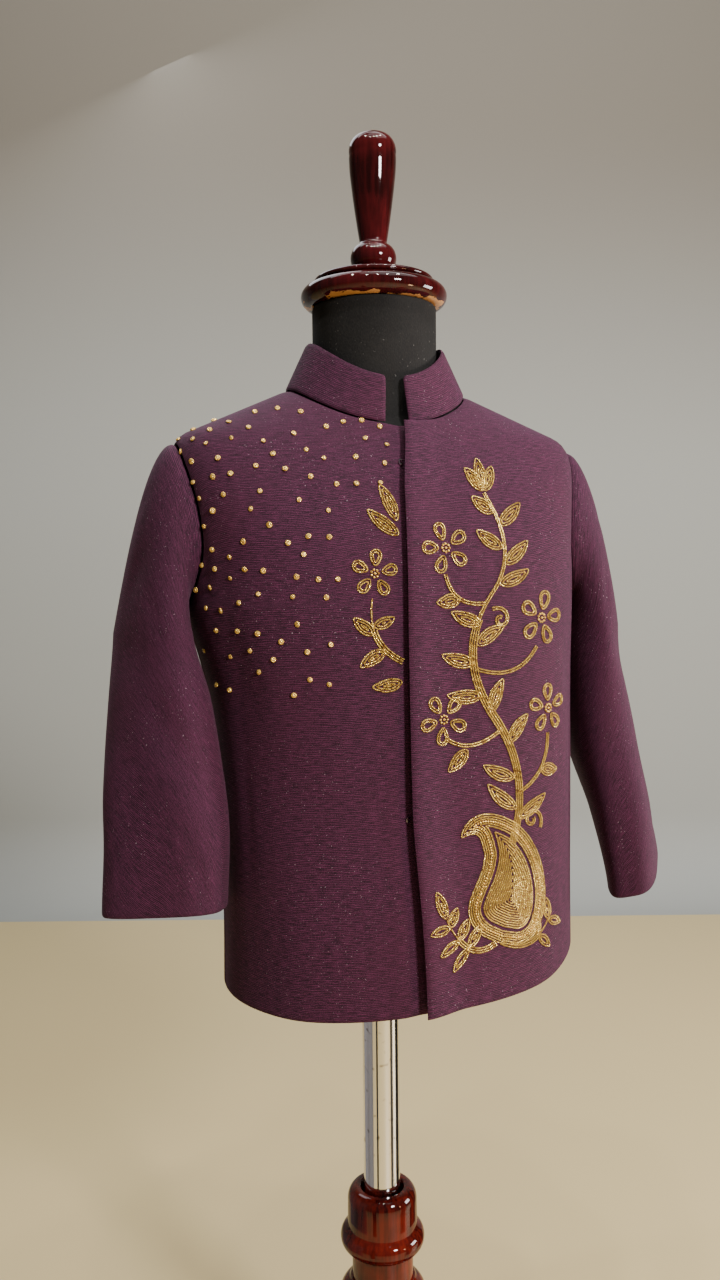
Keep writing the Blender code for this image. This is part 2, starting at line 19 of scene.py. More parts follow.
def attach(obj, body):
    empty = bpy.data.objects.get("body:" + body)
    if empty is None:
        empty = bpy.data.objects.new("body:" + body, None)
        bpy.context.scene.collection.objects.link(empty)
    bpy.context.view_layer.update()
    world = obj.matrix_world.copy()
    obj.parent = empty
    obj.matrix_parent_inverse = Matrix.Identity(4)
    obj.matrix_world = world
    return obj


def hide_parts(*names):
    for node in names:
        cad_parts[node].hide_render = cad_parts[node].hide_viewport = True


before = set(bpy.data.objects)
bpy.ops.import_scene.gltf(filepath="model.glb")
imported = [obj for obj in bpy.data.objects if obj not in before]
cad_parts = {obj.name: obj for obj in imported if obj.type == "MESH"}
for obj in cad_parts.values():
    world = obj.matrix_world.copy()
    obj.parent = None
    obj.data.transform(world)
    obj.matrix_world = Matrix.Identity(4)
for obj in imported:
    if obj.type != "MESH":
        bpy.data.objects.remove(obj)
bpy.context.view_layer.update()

LOG = logging.getLogger("jacket")

Pair = tuple[float, float]
Triple = tuple[float, float, float]
Colour = tuple[float, float, float, float]
Path = list[Pair]
Grid = list[list[Vector]]
Piece = bpy.types.Object
Material = bpy.types.Material
Socket = bpy.types.NodeSocket
Tree = bpy.types.NodeTree
Shape = bmesh.types.BMesh
Value = float | str | tuple | Socket

WALL = 0.0022
SEAM_HALF_GAP = 0.00002


def mix(a: float, b: float, t: float) -> float:
    """Return the value a share t of the way from a to b."""
    return a + (b - a) * t


def ease(t: float) -> float:
    """Return a smooth step from 0 to 1."""
    t = min(1.0, max(0.0, t))
    return t * t * (3.0 - 2.0 * t)


def signed_power(value: float, power: float) -> float:
    """Return the power of a value's size, with its sign kept."""
    return math.copysign(abs(value) ** power, value)


def curve_between(a: float, b: float, c: float, d: float, t: float) -> float:
    """Return the value a share t of the way from b to c, on a smooth curve through all four."""
    rise_b, rise_c = (c - a) / 2, (d - b) / 2
    return (
        (2 * t**3 - 3 * t**2 + 1) * b
        + (t**3 - 2 * t**2 + t) * rise_b
        + (3 * t**2 - 2 * t**3) * c
        + (t**3 - t**2) * rise_c
    )


def smooth_row(table: Sequence, z: float) -> tuple:
    """Read a table of rows at a height, on a smooth curve through the rows.

    Args:
        table: Named tuples whose first column is z.
        z: The height to read at, in metres.

    Returns:
        A named tuple of the same kind, at that height.
    """
    rows = sorted(table, key=lambda row: row.z)
    z = min(rows[-1].z, max(rows[0].z, z))
    last = max(i for i in range(len(rows) - 1) if rows[i].z <= z)
    before, low = rows[max(last - 1, 0)], rows[last]
    high, after = rows[last + 1], rows[min(last + 2, len(rows) - 1)]
    t = (z - low.z) / (high.z - low.z)
    made = [curve_between(*values, t) for values in zip(before, low, high, after)]
    return type(low)(z, *made[1:])


def edge_spaced(count: int, near: Sequence[float]) -> list[float]:
    """Return shares from 0 to 1, evenly spaced but with extra ones close to both ends.

    Args:
        count: How many even steps lie between the ends.
        near: Extra shares to add by each end, smallest first.

    Returns:
        The sorted shares.
    """
    inside = [i / count for i in range(1, count) if near[-1] < i / count < 1 - near[-1]]
    return [0.0, *near, *inside, *[1 - n for n in reversed(near)], 1.0]


class Section(NamedTuple):
    """One level ring of the body, below the armpit."""

    z: float
    centre_x: float
    half_width: float
    front_depth: float
    back_depth: float
    power: float


class LapRow(NamedTuple):
    """Where the upper front's edge lies at one height."""

    z: float
    edge_x: float


class Drape(NamedTuple):
    """A soft swelling or hollow in the body: where it is, its half sizes and its depth."""

    angle: float
    z: float
    half_angle: float
    half_height: float
    depth: float


class Ring(NamedTuple):
    """One ring of a sleeve below its cap."""

    z: float
    outward: float
    forward: float
    long: float
    short: float
    turn: float


class Fold(NamedTuple):
    """A soft crease in a sleeve."""

    z: float
    turn: float
    half_height: float
    half_turn: float
    slant: float
    depth: float


class Side(Enum):
    """The wearer's left and right, as the sign of x."""

    LEFT = 1
    RIGHT = -1


@dataclass(frozen=True)
class BodyCut:
    """The outer surface of the jacket's body, worked out from its rings.

    An angle runs round the body in degrees, 0 at the wearer's left and -90 at the front. A climb runs
    up it: -1 at the hem, 0 at the armpit, 1 at the shoulder's turn and 2 at the neck seam.
    """

    hem_z: float = 0.375
    hem_tilt: float = 0.045
    hem_rise: float = 0.0100
    hem_rise_skew: float = 0.0035
    armpit_z: float = 0.630
    tip_z: float = 0.735
    chest_turn_z: float = 0.706
    back_turn_z: float = 0.722
    neck_front_z: float = 0.742
    neck_side_z: float = 0.768
    neck_back_z: float = 0.770
    shoulder_half: float = 0.1355
    shoulder_front: float = 0.073
    shoulder_back: float = 0.068
    shoulder_power: float = 2.4
    neck_half: float = 0.060
    neck_front: float = 0.052
    neck_back: float = 0.050
    neck_power: float = 2.05
    turn_at_side: float = 0.13
    turn_at_front: float = 0.85
    chest_bow: float = 1.6
    armhole_front: float = 22.5
    armhole_back: float = 23.5
    sections: tuple[Section, ...] = (
        Section(0.375, 0.0145, 0.1215, 0.0800, 0.0740, 2.16),
        Section(0.430, 0.0140, 0.1205, 0.0800, 0.0720, 2.26),
        Section(0.500, 0.0125, 0.1210, 0.0795, 0.0705, 2.40),
        Section(0.570, 0.0095, 0.1230, 0.0820, 0.0740, 2.50),
        Section(0.630, 0.0030, 0.1300, 0.0820, 0.0780, 2.60),
    )
    drapes: tuple[Drape, ...] = (
        Drape(-148.0, 0.600, 10.0, 0.060, -0.0026),
        Drape(-30.0, 0.590, 10.0, 0.055, -0.0024),
        Drape(-132.0, 0.420, 12.0, 0.070, 0.0022),
        Drape(-52.0, 0.430, 12.0, 0.070, 0.0018),
        Drape(52.0, 0.560, 12.0, 0.110, -0.0028),
        Drape(128.0, 0.560, 12.0, 0.110, -0.0028),
        Drape(90.0, 0.440, 16.0, 0.090, 0.0024),
    )
    creases: tuple[Drape, ...] = (
        Drape(-158.0, 0.655, 3.5, 0.030, -0.0011),
        Drape(-152.0, 0.500, 3.0, 0.055, -0.0009),
        Drape(-24.0, 0.650, 3.5, 0.028, -0.0011),
        Drape(-27.0, 0.505, 3.0, 0.050, -0.0008),
        Drape(-118.0, 0.700, 4.0, 0.016, -0.0007),
        Drape(-64.0, 0.702, 4.0, 0.015, -0.0007),
        Drape(28.0, 0.650, 4.0, 0.030, -0.0011),
        Drape(152.0, 0.648, 4.0, 0.030, -0.0011),
        Drape(72.0, 0.745, 9.0, 0.005, -0.0007),
        Drape(108.0, 0.746, 9.0, 0.005, -0.0007),
    )

    def ring_point(
        self, angle: float, half: float, front: float, back: float, z: float, power: float, mid: float = 0
    ) -> Vector:
        """Return a point on a rounded ring at an angle, from its half sizes, height and power."""
        across = math.cos(math.radians(angle))
        along = math.sin(math.radians(angle))
        depth = back if along > 0 else front
        x = mid + half * signed_power(across, 2 / power)
        return Vector((x, depth * signed_power(along, 2 / power), z))

    @staticmethod
    def front_share(angle: float) -> float:
        """Return how far an angle faces the front, from 0 to 1."""
        return max(0.0, -math.sin(math.radians(angle)))

    @staticmethod
    def back_share(angle: float) -> float:
        """Return how far an angle faces the back, from 0 to 1."""
        return max(0.0, math.sin(math.radians(angle)))

    def body_ring(self, angle: float, z: float) -> Vector:
        """Return a point on the body at or below the armpit."""
        row = smooth_row(self.sections, z)
        sizes = row.half_width, row.front_depth, row.back_depth
        return self.ring_point(angle, *sizes, z, row.power, row.centre_x)

    def shoulder_ring(self, angle: float) -> Vector:
        """Return where the chest and the back turn into the shoulder."""
        side = abs(math.cos(math.radians(angle))) ** 2.4
        turn = self.chest_turn_z if self.front_share(angle) > 0 else self.back_turn_z
        z = mix(turn, self.tip_z, side)
        sizes = self.shoulder_half, self.shoulder_front, self.shoulder_back
        return self.ring_point(angle, *sizes, z, self.shoulder_power)

    def neck_height(self, angle: float) -> float:
        """Return the height of the neck seam."""
        dip = (self.neck_side_z - self.neck_front_z) * self.front_share(angle) ** 1.7
        rise = (self.neck_back_z - self.neck_side_z) * self.back_share(angle)
        return self.neck_side_z - dip + rise

    def neck_ring(self, angle: float) -> Vector:
        """Return a point on the neck seam."""
        sizes = self.neck_half, self.neck_front, self.neck_back
        return self.ring_point(angle, *sizes, self.neck_height(angle), self.neck_power)

    def drape_at(self, angle: float, z: float) -> float:
        """Return how far drape and creases move the cloth out at a place."""
        total = 0.0
        for fold in (*self.drapes, *self.creases):
            round_it = (angle - fold.angle + 180.0) % 360.0 - 180.0
            across = (round_it / fold.half_angle) ** 2
            up = ((z - fold.z) / fold.half_height) ** 2
            if across + up < 12.0:
                total += fold.depth * math.exp(-across - up)
        return total

    def hem_lift(self, x: float) -> float:
        """Return how far the hem stands above its middle height: it leans, and rises to the sides."""
        hem = self.sections[0]
        side = (x - hem.centre_x) / hem.half_width
        return self.hem_tilt * x + self.hem_rise * side**4 + self.hem_rise_skew * side**5

    def point(self, angle: float, climb: float) -> Vector:
        """Return a point of the outer surface.

        Args:
            angle: Degrees round the body.
            climb: How high up it, from -1 at the hem to 2 at the neck.

        Returns:
            The point, in metres.
        """
        if climb <= 0.0:
            point = self.body_ring(angle, mix(self.armpit_z, self.hem_z, -climb))
            point.z += self.hem_lift(point.x) * climb * climb
        else:
            low = self.body_ring(angle, self.armpit_z)
            turn, high = self.shoulder_ring(angle), self.neck_ring(angle)
            side = abs(math.cos(math.radians(angle))) ** 3
            soft = mix(self.turn_at_front, self.turn_at_side, side)
            up, over = min(climb, 1.0), max(climb - 1.0, 0.0)
            if abs(climb - 1.0) < soft:
                up = 1.0 - (1.0 + soft - climb) ** 2 / (4.0 * soft)
                over = (climb - 1.0 + soft) ** 2 / (4.0 * soft)
            bow = up**self.chest_bow
            point = low + (turn - low) * bow + (high - turn) * over
            point.z += (turn.z - low.z) * (up - bow)
        outward = Vector((point.x, point.y, 0.0)).normalized()
        return point + outward * self.drape_at(angle, point.z)

    def normal(self, angle: float, climb: float) -> Vector:
        """Return the outward direction of the surface at a place."""
        across = self.point(angle + 1.5, climb) - self.point(angle - 1.5, climb)
        up = self.point(angle, min(2.0, climb + 0.03)) - self.point(angle, max(-1.0, climb - 0.03))
        return across.cross(up).normalized()

    def armhole_angle(self, climb: float, widest: float) -> float:
        """Return how far the armhole reaches round from the side seam at a height."""
        if climb <= 0.0 or climb >= 1.0:
            return 0.0
        level = 2.0 * climb - 1.0
        return widest * math.sqrt(1.0 - level * level)

    def armhole_point(self, side: Side, turn: float) -> Vector:
        """Return a point of the armhole's edge: turn is 0 at the tip and 90 at the front."""
        climb = (1.0 + math.cos(math.radians(turn))) / 2.0
        reach = math.sin(math.radians(turn))
        angle = -(self.armhole_front if reach > 0 else self.armhole_back) * reach
        return self.point(angle if side is Side.LEFT else 180.0 - angle, climb)

    def angle_at_x(self, climb: float, x: float) -> float:
        """Return the angle near the centre front where the surface has this x."""
        low, high = -125.0, -55.0
        for _ in range(24):
            middle = (low + high) / 2
            if self.point(middle, climb).x < x:
                low = middle
            else:
                high = middle
        return (low + high) / 2


@dataclass(frozen=True)
class EdgeRoll:
    """How a pressed cloth edge rounds off: its reach in from the edge and its drop on each face."""

    reach: float = 0.0022
    drop: float = 0.0008

    def at(self, distance: float) -> float:
        """Return the drop at a distance in from the edge."""
        if distance >= self.reach:
            return 0.0
        return self.drop * (1.0 - distance / self.reach) ** 2


@dataclass
class ClothWall:
    """A thin closed wall of cloth between an outer and an inner grid of points."""

    name: str
    around: bool = False
    outer: Grid = field(default_factory=list)
    inner: Grid = field(default_factory=list)

    def add_row(self, row: Sequence[tuple[Vector, Vector, float]]) -> None:
        """Add a row of the cloth: each point with its inward direction and its edge's drop."""
        self.outer.append([point + inward * drop for point, inward, drop in row])
        self.inner.append([point + inward * (WALL - drop) for point, inward, drop in row])

    def uv_grid(self) -> list[Path]:
        """Return each point's place on the cloth in metres, along the weft and the warp."""
        rows = []
        heights = [0.0] * len(self.outer[0])
        for below, row in zip([self.outer[0], *self.outer], self.outer):
            widths = [0.0]
            for a, b in zip(row, row[1:]):
                widths.append(widths[-1] + (b - a).length)
            heights = [h + (p - q).length for h, p, q in zip(heights, row, below)]
            middle = widths[len(row) // 2]
            rows.append([(width - middle, height) for width, height in zip(widths, heights)])
        return rows

    def make(self) -> Piece:
        """Build the wall as one closed mesh with a UV map in metres.

        Returns:
            The object, linked to the scene with its place in its mesh.
        """
        shape = bmesh.new()
        layer = shape.loops.layers.uv.new("cloth")
        uvs = self.uv_grid()
        places: dict[bmesh.types.BMVert, Pair] = {}
        sides = []
        for grid in (self.outer, self.inner):
            made = [[shape.verts.new(point) for point in row] for row in grid]
            for verts, spots in zip(made, uvs):
                places.update(zip(verts, spots))
            sides.append(made)
        rows, columns = len(self.outer), len(self.outer[0])
        spans = columns if self.around else columns - 1
        for grid in sides:
            for j in range(rows - 1):
                for i in range(spans):
                    k = (i + 1) % columns
                    shape.faces.new((grid[j][i], grid[j][k], grid[j + 1][k], grid[j + 1][i]))
        out, back = sides
        for j in (0, rows - 1):
            for i in range(spans):
                k = (i + 1) % columns
                shape.faces.new((out[j][i], out[j][k], back[j][k], back[j][i]))
        if not self.around:
            for i in (0, columns - 1):
                for j in range(rows - 1):
                    shape.faces.new((out[j][i], out[j + 1][i], back[j + 1][i], back[j][i]))
        seam_width = max(place[0] for place in places.values())
        for face in shape.faces:
            for loop in face.loops:
                loop[layer].uv = places[loop.vert]
            wide = [loop for loop in face.loops if loop[layer].uv.x > seam_width * 0.5]
            if self.around and 0 < len(wide) < len(face.loops):
                step = max(loop[layer].uv.x for loop in face.loops)
                for loop in face.loops:
                    if loop[layer].uv.x < 0:
                        loop[layer].uv.x = step
        bmesh.ops.recalc_face_normals(shape, faces=shape.faces)
        return link_mesh(self.name, shape)


def plain_mesh(name: str, shape: Shape) -> bpy.types.Mesh:
    """Turn a bmesh into a mesh, and free the bmesh."""
    mesh = bpy.data.meshes.new(name)
    shape.to_mesh(mesh)
    shape.free()
    return mesh


def place_mesh(name: str, mesh: bpy.types.Mesh) -> Piece:
    """Put a mesh in the scene as a new object."""
    piece = bpy.data.objects.new(name, mesh)
    bpy.context.scene.collection.objects.link(piece)
    return piece


def skin(shape: Shape, rings: Sequence[list[bmesh.types.BMVert]]) -> None:
    """Join each closed ring of points to the next with faces."""
    for lower, upper in zip(rings, rings[1:]):
        for i in range(len(lower)):
            k = (i + 1) % len(lower)
            shape.faces.new((lower[i], lower[k], upper[k], upper[i]))


def link_mesh(name: str, shape: Shape, smooth_angle: float = 60.0) -> Piece:
    """Turn a bmesh into a smoothly shaded object in the scene.

    Args:
        name: The object's name.
        shape: The bmesh, which is freed.
        smooth_angle: Edges sharper than this many degrees stay sharp.

    Returns:
        The new object.
    """
    mesh = plain_mesh(name, shape)
    mesh.shade_smooth()
    mesh.set_sharp_from_angle(angle=math.radians(smooth_angle))
    return place_mesh(name, mesh)


@dataclass(frozen=True)
class Lap:
    """How the left front lies over the right one."""

    underlap: float = 0.0140
    inset: float = 0.0022
    ramp: float = 0.0140
    lift_neck: float = 0.0040
    lift_hem: float = 0.0068
    lift_width: float = 0.0300
    edge_rows: tuple[LapRow, ...] = (
        LapRow(0.742, 0.0030),
        LapRow(0.700, -0.0027),
        LapRow(0.620, -0.0045),
        LapRow(0.500, -0.0020),
        LapRow(0.430, 0.0035),
        LapRow(0.375, 0.0060),
    )

    def edge(self, cut: BodyCut, climb: float) -> float:
        """Return the x of the upper front's edge at a climb."""
        return smooth_row(self.edge_rows, cut.point(-90.0, climb).z).edge_x

    def offset(self, side: Side, climb: float, past_edge: float) -> float:
        """Return how far a front stands off the body's surface.

        Args:
            side: Which front.
            climb: How high up the body.
            past_edge: The distance in x past the upper front's edge.

        Returns:
            The offset along the normal, in metres.
        """
        if side is Side.LEFT:
            lift = mix(self.lift_neck, self.lift_hem, ease(-climb))
            return lift * (1.0 - ease(past_edge / self.lift_width))
        return -self.inset * ease((past_edge + self.ramp) / self.ramp)


@dataclass
class BodyPanels:
    """The two fronts and the back, cut fine enough to show their pressed edges and soft drape."""

    cut: BodyCut
    lap: Lap
    roll: EdgeRoll
    front_columns: int = 44
    back_columns: int = 70
    low_rows: int = 40
    armhole_rows: int = 30
    top_rows: int = 16
    yoke_length: float = 0.035
    edge_shares: tuple[float, ...] = (0.003, 0.007, 0.013, 0.022)

    def climbs(self) -> list[float]:
        """Return the heights of the rows, closer together by the hem and the neck."""
        near = [0.0, 0.0020, 0.0048, 0.0085, 0.014]
        low = [-1.0 + n for n in near]
        low += [-1.0 + i / self.low_rows for i in range(1, self.low_rows)]
        half_turn = [math.pi * i / self.armhole_rows for i in range(self.armhole_rows)]
        low += [(1.0 - math.cos(turn)) / 2 for turn in half_turn]
        low += [1.0 + i / self.top_rows for i in range(self.top_rows)]
        return low + [1.965, 1.983, 1.993, 2.0]

    def front_angles(self, side: Side, climb: float) -> Pair:
        """Return the angles between which a front runs at a height."""
        edge = self.cut.armhole_angle(climb, self.cut.armhole_front)
        lap = self.lap.edge(self.cut, climb)
        if side is Side.LEFT:
            return self.cut.angle_at_x(climb, lap), -edge
        return self.cut.angle_at_x(climb, lap + self.lap.underlap), edge - 180.0

    def back_angles(self, climb: float) -> Pair:
        """Return the angles between which the back runs at a height."""
        edge = self.cut.armhole_angle(climb, self.cut.armhole_back)
        return edge, 180.0 - edge

    def wall(
        self,
        name: str,
        ends: Callable[[float], Pair],
        columns: int,
        offset: Callable[[float, float], float],
        seam_ends: tuple[bool, bool],
    ) -> Piece:
        """Build one panel.

        Args:
            name: The piece's name.
            ends: Gives the angles between which the panel runs at a climb.
            columns: How many even steps lie across it.
            offset: Gives the stand-off at a climb and an x.
            seam_ends: Whether each end is sewn, and so stands back by half a seam gap.

        Returns:
            The panel's object.
        """
        shares = edge_spaced(columns, self.edge_shares)
        cloth = ClothWall(name)
        hem_length = self.cut.armpit_z - self.cut.hem_z
        for climb in self.climbs():
            start, end = ends(climb)
            row, normals = [], []
            for share in shares:
                angle = mix(start, end, share)
                point, normal = self.cut.point(angle, climb), self.cut.normal(angle, climb)
                row.append(point + normal * offset(climb, point.x))
                normals.append(normal)
            if seam_ends[0]:
                row[0] = row[0] + (row[1] - row[0]).normalized() * SEAM_HALF_GAP
            if seam_ends[1]:
                row[-1] = row[-1] + (row[-2] - row[-1]).normalized() * SEAM_HALF_GAP
            length = sum((b - a).length for a, b in zip(row, row[1:]))
            low, high = (climb + 1.0) * hem_length, (2.0 - climb) * self.yoke_length
            drops = [self.roll.at(min(share * length, (1.0 - share) * length, low, high)) for share in shares]
            cloth.add_row([(point, -normal, drop) for point, normal, drop in zip(row, normals, drops)])
        return cloth.make()

    def front(self, side: Side) -> Piece:
        """Build one front."""

        def offset(climb: float, x: float) -> float:
            """Return the stand-off of this front."""
            return self.lap.offset(side, climb, x - self.lap.edge(self.cut, climb))

        return self.wall(
            f"cloth_front_{side.name.lower()}",
            lambda climb: self.front_angles(side, climb),
            self.front_columns,
            offset,
            (False, True),
        )

    def back(self) -> Piece:
        """Build the back."""
        return self.wall(
            "cloth_back", self.back_angles, self.back_columns, lambda climb, x: 0.0, (True, True)
        )


@dataclass
class StandCollar:
    """The stand-up collar, with soft corners at its open front."""

    cut: BodyCut
    roll: EdgeRoll
    height_front: float = 0.030
    height_back: float = 0.031
    top_half: float = 0.0455
    top_front: float = 0.0465
    top_back: float = 0.0455
    opening_half: float = 0.0075
    seam_rise: float = 0.0006
    corner_share: float = 0.12
    corner_angle: float = 3.0
    columns: int = 110
    rows: int = 12

    def point(self, angle: float, share: float) -> Vector:
        """Return a point of the outer surface, share 0 at the seam and 1 at the top."""
        low = self.cut.neck_ring(angle)
        rise = mix(self.height_front, self.height_back, 1.0 - self.cut.front_share(angle))
        high = self.cut.ring_point(
            angle, self.top_half, self.top_front, self.top_back, low.z + rise, 2.0
        )
        point = low.lerp(high, share)
        point.z += self.seam_rise * (1.0 - share)
        return point

    def make(self) -> Piece:
        """Build the collar."""
        gap = math.degrees(math.asin(self.opening_half / self.cut.neck_half))
        cloth = ClothWall("cloth_collar")
        for share in edge_spaced(self.rows, (0.012, 0.030, 0.055)):
            into = max(0.0, (share - 1.0 + self.corner_share) / self.corner_share)
            back_off = self.corner_angle * (1.0 - math.sqrt(max(0.0, 1.0 - into * into)))
            start, end = -90.0 + gap + back_off, 270.0 - gap - back_off
            row = []
            for across in edge_spaced(self.columns, (0.0010, 0.0026, 0.0050)):
                point = self.point(mix(start, end, across), share)
                inward = Vector((-point.x, -point.y, 0.0)).normalized()
                side_edge = min(across, 1.0 - across) * math.tau * self.cut.neck_half * 0.92
                level_edge = min(share, 1.0 - share) * self.height_front
                row.append((point, inward, self.roll.at(min(side_edge, level_edge))))
            cloth.add_row(row)
        return cloth.make()


class CuffTip(NamedTuple):
    """How far a cuff's plane tips: the rise outwards and the rise towards the front."""

    outward: float
    forward: float


@dataclass
class Sleeve:
    """A sleeve that hangs empty from its armhole, with its cap's ease and its creases."""

    cut: BodyCut
    roll: EdgeRoll
    side: Side
    rings: tuple[Ring, ...]
    folds: tuple[Fold, ...]
    cuff: CuffTip
    reach_top: float = 0.0190
    reach_side: float = 0.0170
    reach_under: float = 0.0030
    set_off: float = 0.0005
    cuff_power: float = 3.4
    seam_sink: float = 0.0010
    seam_reach: float = 0.16
    ease_height: float = 0.00035
    ease_count: int = 34
    points: int = 112
    cap_length: float = 0.045
    cap_rings: int = 26
    tube_rings: int = 56

    def ring_point(self, turn: float, z: float) -> Vector:
        """Return a point of a ring below the cap: turn is 0 straight out and 90 at the front."""
        ring = smooth_row(self.rings, z)
        around, way = math.radians(turn - ring.turn), math.radians(ring.turn)
        top, low = self.rings[0].z, self.rings[-1].z
        square = 2.0 / mix(2.0, self.cuff_power, ease((top - z) / (top - low)))
        along = ring.long * signed_power(math.cos(around), square)
        across = ring.short * signed_power(math.sin(around), square)
        out = along * math.cos(way) - across * math.sin(way)
        forward = along * math.sin(way) + across * math.cos(way)
        lift = out * self.cuff.outward + forward * self.cuff.forward
        lift *= ease((top - z) / (top - low))
        sign = self.side.value
        return Vector((sign * (ring.outward + out), -(ring.forward + forward), z + lift))

    def crease_at(self, turn: float, z: float) -> float:
        """Return how far the folds move the cloth out at a place."""
        depth = 0.0
        for fold in self.folds:
            centre = fold.turn + fold.slant * (z - fold.z)
            round_it = (turn - centre + 180.0) % 360.0 - 180.0
            reach = (round_it / fold.half_turn) ** 2 + ((z - fold.z) / fold.half_height) ** 2
            if reach < 12.0:
                depth += fold.depth * math.exp(-reach)
        return depth

    def point(self, turn: float, climb: float) -> Vector:
        """Return a point of the outer surface.

        Args:
            turn: Degrees round the sleeve.
            climb: 0 at the armhole, 1 under the cap and 2 at the cuff.

        Returns:
            The point, in metres.
        """
        sign = self.side.value
        if climb <= 1.0:
            start = self.cut.armhole_point(self.side, turn) + Vector((sign * self.set_off, 0.0, 0.0))
            end = self.ring_point(turn, self.rings[0].z)
            height = math.cos(math.radians(turn))
            reach = mix(
                self.reach_side, self.reach_top if height > 0 else self.reach_under, abs(height)
            )
            middle = start + Vector((sign * reach, 0.0, 0.0))
            point = start * (1 - climb) ** 2 + middle * 2 * climb * (1 - climb) + end * climb**2
        else:
            point = self.ring_point(turn, mix(self.rings[0].z, self.rings[-1].z, climb - 1.0))
        ring = smooth_row(self.rings, point.z)
        away = Vector((point.x - sign * ring.outward, point.y + ring.forward, 0.0)).normalized()
        gather = math.exp(-(((climb - 0.10) / 0.09) ** 2)) * max(0.0, math.cos(math.radians(turn)))
        pucker = self.ease_height * gather * math.sin(math.radians(turn) * self.ease_count)
        return point + away * (self.crease_at(turn, point.z) * ease(climb * 2.0) + pucker)

    def make(self) -> Piece:
        """Build the sleeve."""
        levels = [0.0, 0.012, 0.028, 0.050]
        levels += [i / self.cap_rings for i in range(2, self.cap_rings)]
        levels += [1.0 + i / self.tube_rings for i in range(self.tube_rings)]
        levels += [1.988, 1.994, 1.998, 2.0]
        tube_length = self.rings[0].z - self.rings[-1].z
        cloth = ClothWall(f"cloth_sleeve_{self.side.name.lower()}", around=True)
        for climb in levels:
            row = []
            drop = self.roll.at(min(climb * self.cap_length, (2.0 - climb) * tube_length))
            sink = self.seam_sink * (1.0 - ease(climb / self.seam_reach))
            for i in range(self.points):
                turn = 360.0 * i / self.points - 180.0
                across = self.point(turn + 1.5, climb) - self.point(turn - 1.5, climb)
                low, high = max(0.0, climb - 0.02), min(2.0, climb + 0.02)
                down = self.point(turn, high) - self.point(turn, low)
                inward = down.cross(across).normalized() * self.side.value
                row.append((self.point(turn, climb) + inward * sink, inward, drop))
            cloth.add_row(row)
        return cloth.make()


RIGHT_SLEEVE_RINGS = (
    Ring(0.612, 0.1500, 0.009, 0.0420, 0.0185, 112.0),
    Ring(0.575, 0.1475, 0.019, 0.0400, 0.0235, 122.0),
    Ring(0.535, 0.1465, 0.026, 0.0385, 0.0250, 135.0),
    Ring(0.490, 0.1450, 0.031, 0.0375, 0.0260, 150.0),
    Ring(0.441, 0.1470, 0.031, 0.0375, 0.0260, 160.0),
)
LEFT_SLEEVE_RINGS = (
    Ring(0.612, 0.1520, 0.000, 0.0410, 0.0190, 90.0),
    Ring(0.575, 0.1565, 0.000, 0.0420, 0.0210, 95.0),
    Ring(0.529, 0.1650, 0.003, 0.0430, 0.0225, 103.0),
    Ring(0.485, 0.1770, 0.007, 0.0440, 0.0205, 112.0),
    Ring(0.433, 0.1885, 0.010, 0.0440, 0.0170, 122.0),
)
RIGHT_SLEEVE_FOLDS = (
    Fold(0.655, 35.0, 0.022, 20.0, 700.0, -0.0026),
    Fold(0.560, 75.0, 0.030, 26.0, -650.0, -0.0028),
    Fold(0.520, 20.0, 0.026, 22.0, 500.0, 0.0018),
    Fold(0.585, -120.0, 0.035, 26.0, 420.0, -0.0024),
    Fold(0.700, 22.0, 0.012, 9.0, 1500.0, -0.0009),
    Fold(0.628, 62.0, 0.016, 8.0, -900.0, -0.0010),
    Fold(0.540, 48.0, 0.018, 9.0, 800.0, -0.0010),
    Fold(0.470, 105.0, 0.020, 10.0, -500.0, -0.0009),
    Fold(0.640, -70.0, 0.018, 9.0, 700.0, -0.0010),
)
LEFT_SLEEVE_FOLDS = (
    Fold(0.600, 62.0, 0.028, 24.0, 600.0, -0.0026),
    Fold(0.530, 30.0, 0.034, 24.0, -420.0, -0.0018),
    Fold(0.560, -110.0, 0.035, 26.0, 360.0, -0.0024),
    Fold(0.690, 48.0, 0.014, 8.0, 1200.0, -0.0011),
    Fold(0.640, 78.0, 0.016, 8.0, -700.0, -0.0010),
    Fold(0.480, 55.0, 0.022, 9.0, 600.0, -0.0009),
    Fold(0.650, -70.0, 0.018, 9.0, 700.0, -0.0010),
)


